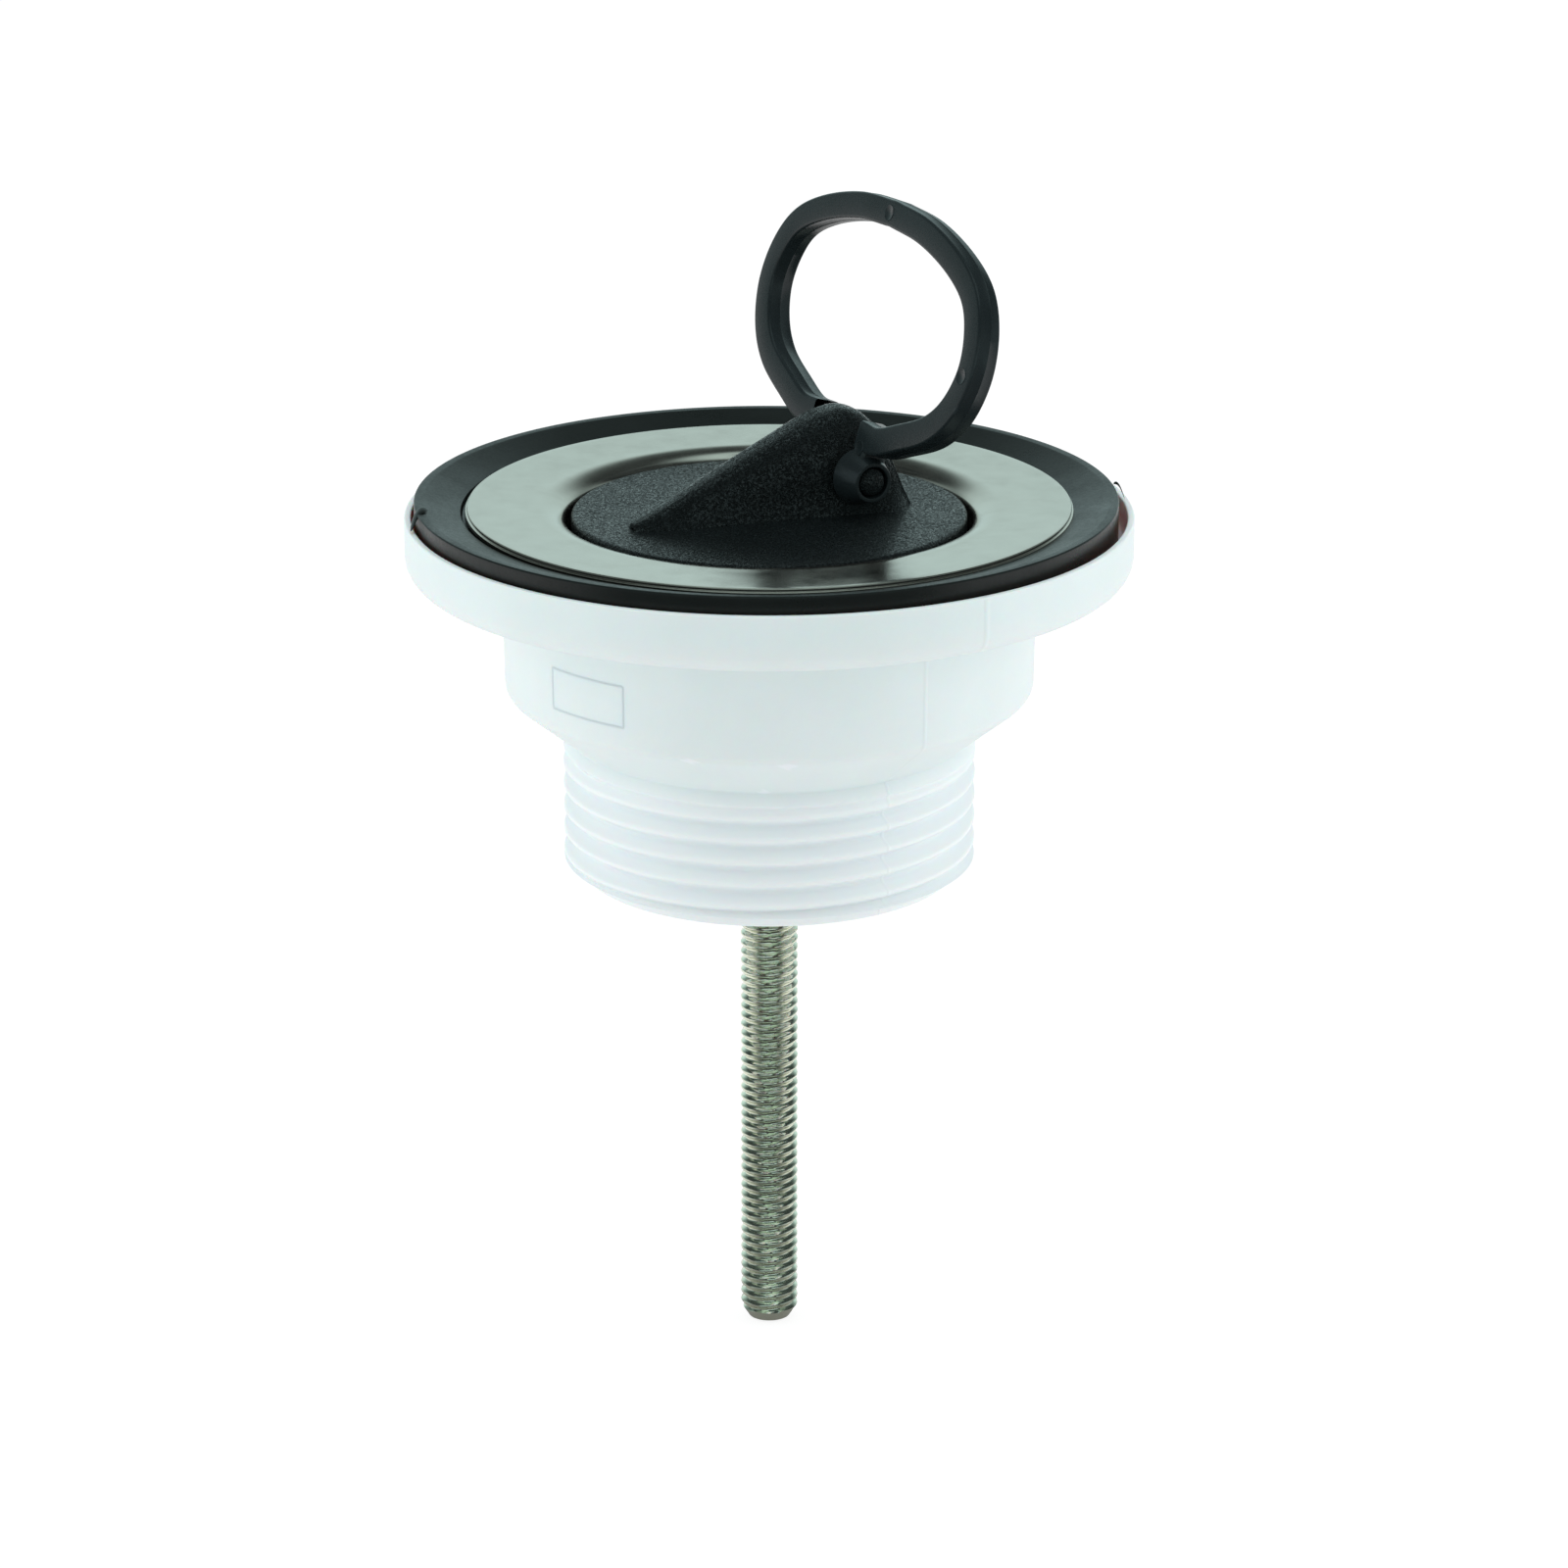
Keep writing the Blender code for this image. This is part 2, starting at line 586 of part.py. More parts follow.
def build_captive_nut(collection, cutters):
    """Hexagon nut with chamfered corners, held in the hub's pocket."""
    material = new_material("brass", (0.62, 0.46, 0.18), 0.35, 1.0)
    nut = hexagon("captive_nut", NUT_FLATS, NUT_FOOT_Z, NUT_TOP_Z, collection)
    nut.data.materials.append(material)
    flats = NUT_FLATS / 2
    corners = flats / math.cos(math.pi / 6) + OVERRUN
    chamfer = turned("nut_chamfer", [
        (flats, NUT_TOP_Z),
        (corners, NUT_TOP_Z - NUT_CHAMFER - (corners - flats) / 2),
        (corners, NUT_FOOT_Z + NUT_CHAMFER + (corners - flats) / 2),
        (flats, NUT_FOOT_Z),
        (SCREW_HOLE_RADIUS, NUT_FOOT_Z),
        (SCREW_HOLE_RADIUS, NUT_TOP_Z),
    ], cutters, steps=SMALL_ROUND_STEPS)
    boolean(nut, as_cutter(chamfer, cutters), "INTERSECT")
    return nut


# Plug and pull ring


def plug_profile():
    """Half section of the plug from the middle of its top: bevelled disc, groove for the seal, foot and hollow."""
    return [
        (0, PLUG_TOP_Z),
        (DISC_RADIUS - DISC_BEVEL, PLUG_TOP_Z),
        (DISC_RADIUS, PLUG_TOP_Z - DISC_BEVEL),
        (DISC_RADIUS, DISC_FOOT_Z),
        (SKIRT_RADIUS, DISC_FOOT_Z),
        (SKIRT_RADIUS, SKIRT_FOOT_TOP_Z),
        (SKIRT_RADIUS + SKIRT_FOOT_REACH, SKIRT_FOOT_TOP_Z),
        (SKIRT_RADIUS + SKIRT_FOOT_REACH, SKIRT_FOOT_Z),
        (SKIRT_BORE, SKIRT_FOOT_Z),
        (SKIRT_BORE, DISC_FOOT_Z),
        (0, DISC_FOOT_Z),
    ]


def fin_section(foot, ridge, foot_half, wall_half, height):
    """One section across the fin: half widths that flare at the foot and close in a rounded ridge."""
    levels = np.array(FIN_LEVEL_SHARES)
    heights = levels * height
    wall = wall_half * (1 - FIN_DRAFT_SHARE * levels) * (1 - levels ** FIN_CREST_POWER) ** (1 / FIN_CREST_POWER)
    flare = (foot_half - wall_half) * np.clip(1 - heights / FIN_FLARE_HEIGHT, 0, None) ** 2
    along = foot + (ridge - foot) * levels
    half = np.stack([along, wall + flare, PLUG_TOP_Z + heights], axis=1)
    root = half[0] - np.array([0, 0, DISC_THICKNESS / 2])
    side = np.concatenate([[root], half])
    other = side[-2::-1] * np.array([1, -1, 1])
    return np.concatenate([side, other])


def build_fin(cutters):
    """The handle: sections from a rounded toe to a broad slanted heel, skinned from one to the next."""
    scale = np.array([FIN_LENGTH, FIN_LENGTH, FIN_HALF_WIDTH, FIN_HALF_WIDTH, FIN_HEIGHT])
    start = np.array([-FIN_TOE, -FIN_TOE, 0, 0, 0])
    rows = np.array(FIN_SECTION_SHARES) * scale + start
    sections = [fin_section(*row) for row in rows]
    count = len(sections[0])
    points = np.concatenate(sections)
    faces = [tuple(range(count)), tuple(range(len(points) - 1, len(points) - count - 1, -1))]
    for index in range(len(sections) - 1):
        low = index * count
        for step in range(count):
            after = (step + 1) % count
            faces.append((low + step, low + count + step, low + count + after, low + after))
    mesh = bpy.data.meshes.new("fin")
    mesh.from_pydata(points.tolist(), [], faces)
    weld(mesh)
    return new_object("fin", mesh, cutters)


def pin_bar(name, cutters):
    """Both pins as one bar across the fin, with domed ends level with the eyelets' outer rims."""
    profile = dome(PIN_RADIUS, PIN_DOME, EYELET_OUTER - PIN_DOME)
    profile += [(radius, -height) for radius, height in reversed(profile)]
    bar = turned(name, profile, cutters, closed=False, steps=SMALL_ROUND_STEPS)
    bar.rotation_euler = (math.pi / 2, 0, 0)
    bar.location = (PIN_ALONG, 0, PIN_Z)
    return bar


def build_plug(collection, cutters):
    """Disc, skirt, fin and pins in one moulding, turned about Z to the way its handle points."""
    material = new_material("black_plastic", (0.022, 0.028, 0.030), 0.48, 0.0)
    plug = turned("plug", plug_profile(), collection, material, closed=False)
    fin = build_fin(cutters)
    seats = []
    for side in (-1, 1):
        seat = cylinder("seat_cutter_{}".format(side + 1), EYELET_RADIUS + SEAT_MARGIN, SEAT_HALF_WIDTH,
                        EYELET_OUTER, cutters)
        seat.rotation_euler = (-side * math.pi / 2, 0, 0)
        seat.location = (PIN_ALONG, 0, PIN_Z)
        seats.append(as_cutter(seat, cutters))
    bar = as_cutter(pin_bar("pins", cutters), cutters)
    boolean(plug, as_cutter(fin, cutters), "UNION")
    for seat in seats:
        boolean(plug, seat, "DIFFERENCE")
    boolean(plug, bar, "UNION")
    for thing in [fin, bar, *seats]:
        thing.parent = plug
    plug.rotation_euler = (0, 0, HANDLE_TURN)
    return plug


def ring_line():
    """Middle line and width (across, up, width) of the pull ring's band, from one bar's end round to the other's."""
    reach = np.array([RING_HALF_WIDTH - RING_BAND / 2, RING_RISE - RING_BAND / 2, RING_BAND])
    shared = [np.array(row) * reach for row in RING_LINE_SHARES]
    bar = [np.array([across, RING_BAR_HEIGHT, RING_BAR_SHARE * RING_BAND]) for across in (EYELET_OUTER, EYELET_INNER)]
    half = smooth_line(shared + bar, RING_SPAN_STEPS)
    return np.concatenate([half[:0:-1] * np.array([-1, 1, 1]), half])


def stand_ring_up(mesh):
    """Stands the flat ring up across X, with its back face leaning forward above the sides' widest part."""
    mesh.transform(Matrix.Rotation(math.pi / 2, 4, "Z") @ Matrix.Rotation(math.pi / 2, 4, "X"))
    for vertex in mesh.vertices:
        if vertex.co.x > 0:
            vertex.co.x -= RING_LEAN_SHARE * max(0, vertex.co.z - RING_LEAN_START)


def build_pull_ring(collection, cutters, plug):
    """Flat oval loop whose ends turn in along the pin axis, each on a short neck over a tapered eyelet."""
    material = new_material("black_loop_plastic", (0.030, 0.036, 0.038), 0.40, 0.0)
    ring = plate("pull_ring", band_outline(ring_line()), RING_DEPTH, collection, material)
    stand_ring_up(ring.data)
    edge = ring.modifiers.new("edge", "BEVEL")
    edge.width = RING_ROUND
    edge.segments = 2
    edge.limit_method = "ANGLE"
    edge.angle_limit = math.radians(60)
    neck_half = (RING_DEPTH - RING_ROUND) / 2
    neck_outline = [
        (-neck_half, PIN_RADIUS),
        (neck_half, PIN_RADIUS),
        (neck_half, RING_BAR_HEIGHT),
        (-neck_half, RING_BAR_HEIGHT),
    ]
    for side in (-1, 1):
        turn = (-side * math.pi / 2, 0, 0)
        eyelet = cylinder("eyelet_{}".format(side + 1), EYELET_RADIUS, EYELET_INNER, EYELET_OUTER, cutters,
                          top_radius=PIN_RADIUS + EYELET_PLAY + EYELET_WALL)
        eyelet.rotation_euler = turn
        hole = cylinder("eyelet_hole_{}".format(side + 1), PIN_RADIUS + EYELET_PLAY, EYELET_INNER - OVERRUN,
                        EYELET_OUTER + OVERRUN, cutters)
        hole.rotation_euler = turn
        neck = plate("eyelet_neck_{}".format(side + 1), neck_outline, EYELET_NECK_WIDTH, cutters)
        neck.rotation_euler = (math.pi / 2, 0, 0)
        neck.location = (0, side * (EYELET_INNER + (RING_ROUND + EYELET_NECK_WIDTH) / 2), 0)
        boolean(ring, as_cutter(eyelet, cutters), "UNION")
        boolean(ring, as_cutter(neck, cutters), "UNION")
        boolean(ring, as_cutter(hole, cutters), "DIFFERENCE")
        for thing in (eyelet, hole, neck):
            thing.parent = ring
    ring.parent = plug
    ring.location = (PIN_ALONG, 0, PIN_Z)
    ring.rotation_euler = (0, RING_TILT, 0)
    return ring


def main():
    clear_scene()
    pieces = new_collection("sink_waste_valve")
    cutters = new_collection("cutters")
    build_waste_body(pieces, cutters)
    build_captive_nut(pieces, cutters)
    build_sink_gasket(pieces)
    build_strainer_flange(pieces, cutters)
    build_clamp_screw(pieces, cutters)
    plug = build_plug(pieces, cutters)
    build_plug_seal(pieces)
    build_pull_ring(pieces, cutters, plug)


main()
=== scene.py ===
"""Looks of the sink waste valve: every piece as a finer surface over its solid, with its own finish.

Lengths are in millimetres. Every point is brought to metres where a piece's mesh is made. The origin lies on the
waste's axis in the plane of the steel rim's top. +Z is up, and the viewer stands on the -Y side.
"""
import math

import bmesh
import bpy
import numpy as np
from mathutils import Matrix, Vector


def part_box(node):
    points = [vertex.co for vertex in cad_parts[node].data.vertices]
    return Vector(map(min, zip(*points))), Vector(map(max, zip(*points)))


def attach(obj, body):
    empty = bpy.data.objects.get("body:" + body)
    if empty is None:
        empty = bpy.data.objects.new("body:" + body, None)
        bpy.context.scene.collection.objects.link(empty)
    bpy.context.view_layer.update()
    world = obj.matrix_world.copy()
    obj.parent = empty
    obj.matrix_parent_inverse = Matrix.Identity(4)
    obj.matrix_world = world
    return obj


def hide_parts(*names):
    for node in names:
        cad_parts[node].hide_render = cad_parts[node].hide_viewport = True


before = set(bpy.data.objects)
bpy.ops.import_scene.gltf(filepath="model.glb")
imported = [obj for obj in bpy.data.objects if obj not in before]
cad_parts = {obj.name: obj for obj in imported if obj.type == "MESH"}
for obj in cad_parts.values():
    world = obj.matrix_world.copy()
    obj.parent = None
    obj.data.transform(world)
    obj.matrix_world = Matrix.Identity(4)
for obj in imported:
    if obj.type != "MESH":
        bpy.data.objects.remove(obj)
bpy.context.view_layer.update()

MM = 0.001


def node_size(name):
    """Lowest and highest corner of a solid, in millimetres."""
    return np.array(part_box(name)) / MM


BODY_LOW, BODY_HIGH = node_size("waste_body")
GASKET_LOW, GASKET_HIGH = node_size("sink_gasket")
SEAL_LOW, SEAL_HIGH = node_size("plug_seal")
NUT_LOW, NUT_HIGH = node_size("captive_nut")
FLANGE_HIGH = node_size("strainer_flange")[1]
PLUG_HIGH = node_size("plug")[1]
SCREW_LOW = node_size("clamp_screw")[0]

# Play between pieces, how near points are merged, the radius that stands for the axis, the angle of a sharp edge
FIT = 0.3
WELD = 0.002
ON_AXIS = 0.001
SHARP_ANGLE = 38.0
# How steep a thread's flanks are, as a share of straight ones
THREAD_STEEPNESS = 1.25

# Points round each surface, and rows along the long ones
BODY_COLUMNS, SEAM_COLUMNS, PIPE_THREAD_ROWS = 276, 9, 130
HUB_COLUMNS, RIB_ROWS, RIB_COLUMNS = 96, 30, 32
GASKET_COLUMNS, NIB_ROWS, NIB_COLUMNS = 360, 16, 16
DISH_COLUMNS, SEAT_COLUMNS, DRAIN_COLUMNS = 240, 120, 80
SCREW_ROWS, SCREW_COLUMNS, HEAD_ROWS, HEAD_COLUMNS = 620, 40, 14, 25
PLUG_COLUMNS, SEAL_COLUMNS, PIN_COLUMNS, FIN_LEVELS, HEEL_ROWS = 240, 192, 40, 34, 12
EYELET_COLUMNS, WEB_ROWS, WEB_COLUMNS, MARK_COLUMNS = 48, 12, 36, 40

# Body
CUP_RADIUS = BODY_HIGH[0]
CUP_WALL = 0.7
CUP_TOP = BODY_HIGH[2]
CUP_DEPTH = 3.1
CUP_FLOOR = 2.8
NECK_RADIUS = 26.95
NECK_WALL = 2.5
NECK_HEIGHT = 12.0
NECK_TAPER = 0.2
STEP_HEIGHT = 5.2
COLLAR_HEIGHT = 1.2
COLLAR_TAPER = 0.7
THREAD_RADIUS = 20.95
SPIGOT_RADIUS = 19.4
SPIGOT_LENGTH = 1.4
PIPE_BORE = 17.2
PIPE_FOOT = BODY_LOW[2]
CUP_FLOOR_Z = CUP_TOP - CUP_DEPTH
CUP_FOOT_Z = CUP_FLOOR_Z - CUP_FLOOR
NECK_FOOT_Z = CUP_FOOT_Z - NECK_HEIGHT
STEP_FOOT_Z = NECK_FOOT_Z - STEP_HEIGHT
COLLAR_FOOT_Z = STEP_FOOT_Z - COLLAR_HEIGHT
THREAD_FOOT_Z = PIPE_FOOT + SPIGOT_LENGTH
PIPE_PITCH = 2.309
PIPE_THREAD_DEPTH = 1.25
PIPE_CREST_Z = -26.4
THREAD_LEAD_IN = 0.3
THREAD_RUN_OUT = 0.5
HUB_RADIUS = 7.8
HUB_TOP = -13.25
HUB_FOOT = -22.75
HUB_PASSAGE = 3.0
POCKET_MOUTH = 6.3
POCKET_DEPTH = 5.6
RIB_THICKNESS = 2.4
RIB_DROP = 2.2
RIB_STEP = 0.5
RIB_SINK = 0.6
RIB_SQUARENESS = 0.35
RIBS = 4
PARTING_TURNS = np.radians((-55.5, 124.5))
PARTING_WIDTH = 0.40
PARTING_RISE = 0.06
PANEL_TURNS = np.radians((-142.5, -122.0))
PANEL_HEIGHTS = (-16.4, -12.2)
PANEL_LINE = 0.26
PANEL_RISE = 0.028
PANEL_SINK = 0.02

# Gasket
GASKET_OUTER = (GASKET_HIGH[0] - GASKET_LOW[0]) / 2
GASKET_SHIFT = (GASKET_HIGH[0] + GASKET_LOW[0]) / 2
GASKET_BORE = 24.6
LIP_TOP = GASKET_HIGH[2]
GASKET_FOOT = GASKET_LOW[2]
GASKET_UNDER_RIM = -1.0
GASKET_BY_RIM = -0.5
# Torn moulding nibs: azimuth, sweep, radius at the root and at the tip, width
NIBS = (
    (-171.0, 4.5, GASKET_OUTER - 1.0, CUP_RADIUS - 0.1, 1.8),
    (7.0, -2.0, GASKET_OUTER - 0.3, CUP_RADIUS - 0.6, 0.6),
)
NIB_THICKNESS = 0.3
NIB_RISE = 0.3
NIB_DROOP = 0.1
NIB_BEND = 1.6
NIB_TIP_GAP = 0.25

# Flange
SHEET = 0.7
FLANGE_RADIUS = FLANGE_HIGH[0]
MOUTH_RADIUS = 20.8
MOUTH_ROLL = 3.0
LIP_RADIUS = MOUTH_RADIUS - 0.32
ROLL_REACH = 2.8
ROLL_DROP = 1.7
LIP_FOOT = -4.4
DISH_FLOOR = -9.0
DISH_TAPER = 1.4
DISH_ROUND = 1.8
DRAINS = 10
DRAIN_RADIUS = 2.6
DRAIN_CIRCLE = 13.2
DRAIN_LIP = 0.25
DRAIN_LIP_DROP = 0.2
DRAIN_FIELD_MARGIN = 0.6
HEAD_RADIUS = 5.5
SCREW_HOLE = 3.25
SEAT_DEPTH = 2.55
RIM_LEDGE = 0.2
RIM_LEDGE_TOP = -0.32
RIM_LEDGE_FOOT = -0.36
RIM_FALL = 0.24

# Clamp screw and nut
SHANK_RADIUS = 2.95
SCREW_PITCH = 1.0
SCREW_THREAD_DEPTH = 0.42
HEAD_PLANE = -8.876
HEAD_DOME = 1.3
SLOT_HALF = 0.8
SLOT_DEPTH = 2.2
TIP_Z = SCREW_LOW[2]
THREAD_TOP_Z = HEAD_PLANE - SEAT_DEPTH - 2.0
SCREW_CREST_Z = TIP_Z + 2.2
SCREW_END_HEIGHT = 1.5
POINT_NARROWING = 0.95
# Rounding of the screw's point: radius and height above the tip
POINT_END = ((1.7, 0.05), (0.8, 0), (ON_AXIS, 0))
NUT_FLATS = 10.0
NUT_CHAMFER_HEIGHT = 1
NUT_CHAMFER_START = 0.15
NUT_CHAMFER_SLOPE = 1.7
NUT_THREAD_GAP = 0.1

# Plug, with its handle turned about Z
HANDLE_TURN = math.radians(27)
PLUG_TOP = -0.9
DISC_RADIUS = PLUG_HIGH[0]
DISC_THICKNESS = 2.0
DISC_ROUND = 0.42
SKIRT_RADIUS = 16.8
SKIRT_BORE = 14.6
SKIRT_FOOT_REACH = 1.5
SKIRT_FOOT_HEIGHT = 1.1
SEAL_LIP_DEPTH = 0.8
SEAL_WALL = 1.8
FIN_TOE = 15.2
FIN_LENGTH = 29.0
FIN_HALF_WIDTH = 6.2
FIN_HEIGHT = 10.0
FIN_FLARE_HEIGHT = 2.2
FIN_DRAFT = 0.12
FIN_CREST_POWER = 3.2
# Foot and ridge places along the fin, half widths at the foot and of the wall, ridge height, as shares
FIN_ROWS = (
    (-0.034, -0.034, 0.04, 0.03, 0.020),
    (-0.014, -0.012, 0.10, 0.07, 0.045),
    (0.016, 0.017, 0.17, 0.12, 0.080),
    (0.060, 0.064, 0.26, 0.19, 0.135),
    (0.131, 0.138, 0.35, 0.27, 0.228),
    (0.303, 0.314, 0.48, 0.41, 0.470),
    (0.517, 0.524, 0.61, 0.54, 0.745),
    (0.697, 0.672, 0.76, 0.66, 0.930),
    (0.834, 0.772, 0.89, 0.71, 1.000),
    (0.912, 0.824, 1.00, 0.72, 0.985),
    (0.962, 0.862, 0.86, 0.68, 0.930),
    (1.000, 0.886, 0.66, 0.60, 0.840),
)
PIN_ALONG = 7.55
PIN_Z = 3.0
PIN_RADIUS = 1.4
PIN_DOME = 0.8
PIN_REACH = 8.35
PIN_ROOT = 3.6
SEAT_HALF_WIDTH = 4.5
SEAT_RADIUS = 3.4
SEAT_EDGE = 0.3
FIN_SINK = 0.3
HEEL_REACH = 0.45
HEEL_POWER = 3

# Pull ring, in its own upright frame: X from front to back, Y along the pins, Z up from their axis
RING_TILT = math.radians(16.6)
RING_REACH = 21.325
RING_RISE = 25.825
RING_BAND = 2.75
RING_DEPTH = 2.8
RING_ROUND = 0.32
# The mould's seam on the band's sides, as shares of that round: half width, and height
RING_SEAM_HALF = 0.25
RING_SEAM_TOP = 1.16
RING_BAR_HEIGHT = 4.1
RING_LEAN_START = 9.2
RING_LEAN = 0.03
EYELET_INNER = 4.8
EYELET_OUTER = 8.0
EYELET_RADIUS = 3.0
EYELET_TIP_RADIUS = 2.0
EYELET_HOLE = 1.62
WEB_WIDTH = 2.1
WEB_FLARE = 0.25
WEB_SINK = 0.5
WEB_SQUARENESS = 0.3
WEB_INSET = 0.02
# Middle of the band from its top round to the bar, across and up as shares of its reach and rise, and its width
RING_ROWS = (
    (0.000, 1.000, 0.98),
    (0.312, 0.983, 1.00),
    (0.622, 0.921, 1.00),
    (0.848, 0.832, 1.02),
    (0.963, 0.707, 1.06),
    (0.997, 0.553, 1.05),
    (0.930, 0.400, 1.05),
    (0.785, 0.287, 1.04),
    (0.548, 0.205, 1.04),
)
RING_BAR_WIDTH = 1.04
# Marks left by the mould's pins on the ring's front: across, up, radius
RING_MARKS = ((0.3, 25.8, 0.85), (-21.0, 13.8, 0.85), (-5.85, 2.9, 0.80))
MARK_RISE = 0.05
# The rim round a mark: place from the mark's edge, and height as a share of its rise
MARK_RIM = ((-0.16, 0.2), (-0.10, 1), (-0.04, 1), (0, -0.5))
MARK_MIDDLE = 0.2


# Shapes worked out as whole arrays


def rounded_profile(corners, steps=6):
    """Points of a polyline of (radius, height, fillet), where each fillet is an arc tangent to both sides."""
    points = [np.array(corners[0][:2])[None]]
    for before, here, after in zip(corners, corners[1:], corners[2:]):
        corner = np.array(here[:2])
        if here[2] == 0:
            points.append(corner[None])
            continue
        towards = np.array(before[:2]) - corner
        away = np.array(after[:2]) - corner
        lengths = np.linalg.norm(towards), np.linalg.norm(away)
        towards, away = towards / lengths[0], away / lengths[1]
        half = math.acos(np.clip(towards @ away, -1, 1)) / 2
        reach = min(here[2] / math.tan(half), lengths[0] / 2, lengths[1] / 2)
        radius = reach * math.tan(half)
        middle = (towards + away) / np.linalg.norm(towards + away)
        centre = corner + middle * radius / math.sin(half)
        start = corner + towards * reach - centre
        end = corner + away * reach - centre
        turn = np.linspace(0, 1, steps + 1)[:, None]
        sweep = math.pi - 2 * half
        arc = start * np.sin((1 - turn) * sweep) + end * np.sin(turn * sweep)
        points.append(centre + arc / math.sin(sweep))
    points.append(np.array(corners[-1][:2])[None])
    return np.concatenate(points)


def close_up(profile, longest):
    """Adds even points to a profile's long stretches, so that no step is longer than the given length."""
    lengths = np.linalg.norm(np.diff(profile, axis=0), axis=1)
    counts = np.maximum(np.ceil(lengths / longest).astype(int), 1)
    starts = np.repeat(np.arange(len(lengths)), counts)
    shares = np.arange(counts.sum()) - np.repeat(np.cumsum(counts) - counts, counts)
    shares = (shares / np.repeat(counts, counts))[:, None]
    points = profile[starts] * (1 - shares) + profile[starts + 1] * shares
    return np.concatenate([points, profile[-1:]])


def smooth_rows(rows, span_steps):
    """Rows of a table joined by smooth cubics (Catmull-Rom), with even steps between each pair."""
    rows = np.array(rows, dtype=float)
    padded = np.concatenate([2 * rows[:1] - rows[1:2], rows, 2 * rows[-1:] - rows[-2:-1]])
    place = np.linspace(0, len(rows) - 1, (len(rows) - 1) * span_steps + 1)
    span = np.minimum(place.astype(int), len(rows) - 2)
    t = (place - span)[:, None]
    before, start, end, after = padded[span], padded[span + 1], padded[span + 2], padded[span + 3]
    return 0.5 * (2 * start + (end - before) * t + (2 * before - 5 * start + 4 * end - after) * t ** 2
                  + (3 * start - before - 3 * end + after) * t ** 3)


def even_turns(columns):
    """Angles that divide a full turn evenly."""
    return np.arange(columns) / columns * 2 * math.pi


def points_at(x, y, z):
    """A grid of points from three numbers or arrays that fit one another."""
    return np.stack(np.broadcast_arrays(x, y, z), axis=-1)


def points_round(radius, turn, height):
    """A grid of points from their distance from Z, their turn about it and their height."""
    return points_at(radius * np.cos(turn), radius * np.sin(turn), height)


def turned(profile, turn):
    """A grid of points: each (radius, height) of a profile carried round Z to given angles or a number of them."""
    turn = even_turns(turn) if isinstance(turn, int) else turn
    return points_round(profile[:, :1], turn, profile[:, 1:])


def azimuths(grid):
    """The turn about Z of each point of a grid."""
    return np.arctan2(grid[..., 1], grid[..., 0])


def push_out(grid, amount):
    """Moves each point of a grid away from Z by its own amount."""
    radius = np.hypot(grid[..., 0], grid[..., 1])
    share = (radius + amount) / np.maximum(radius, WELD)
    return points_at(grid[..., 0] * share, grid[..., 1] * share, grid[..., 2])


def thread_groove(grid, crest_z, pitch):
    """How far down a right-handed thread's groove each point lies: 0 on the crest, 1 in the root, both rounded."""
    phase = (grid[..., 2] - crest_z) / pitch - (azimuths(grid) + math.pi / 2) / (2 * math.pi)
    wave = np.abs((phase % 1) * 2 - 1)
    slope = np.clip(THREAD_STEEPNESS * (1 - wave) - (THREAD_STEEPNESS - 1) / 2, 0, 1)
    return slope * slope * (3 - 2 * slope)


def off_flat(turn):
    """How far each angle lies from the middle of the nearest of a hexagon's flats."""
    return (turn + math.pi / 6) % (math.pi / 3) - math.pi / 6


def squared_round(columns, power):
    """A closed curve between circle and square: the cosine and sine of even angles, each to a power."""
    turn = even_turns(columns)[None]
    return (np.abs(np.cos(turn)) ** power * np.sign(np.cos(turn)),
            np.abs(np.sin(turn)) ** power * np.sign(np.sin(turn)))


def turn_z(points, angle):
    """Turns points about Z."""
    cos, sin = math.cos(angle), math.sin(angle)
    return points @ np.array([[cos, sin, 0], [-sin, cos, 0], [0, 0, 1]])


def on_plug(points):
    """Brings points from the handle's own direction to the way the plug stands."""
    return turn_z(points, HANDLE_TURN)


def on_ring(points):
    """Brings points from the ring's upright frame to its tilt on the pins."""
    cos, sin = math.cos(RING_TILT), math.sin(RING_TILT)
    tilted = points @ np.array([[cos, 0, -sin], [0, 1, 0], [sin, 0, cos]])
    return on_plug(tilted + np.array([PIN_ALONG, 0, PIN_Z]))


def along_pin(grid, side):
    """Lays a grid turned about Z along the pins, with its heights out to one side."""
    return points_at(grid[..., 0], side * grid[..., 2], side * grid[..., 1])


# Meshes


def grid_faces(rows, columns, wrap, start):
    """Four-cornered faces between neighbouring points of a grid, wrapped round from last column to first."""
    row = np.arange(rows - 1)[:, None]
    column = np.arange(columns if wrap else columns - 1)[None]
    after = (column + 1) % columns
    near, far = row * columns, (row + 1) * columns
    corners = [near + column, far + column, far + after, near + after]
    return np.stack(corners, axis=-1).reshape(-1, 4) + start


def in_scene(name, data):
    """An object of the given data, at the origin of the scene."""
    thing = bpy.data.objects.new(name, data)
    bpy.context.scene.collection.objects.link(thing)
    return thing


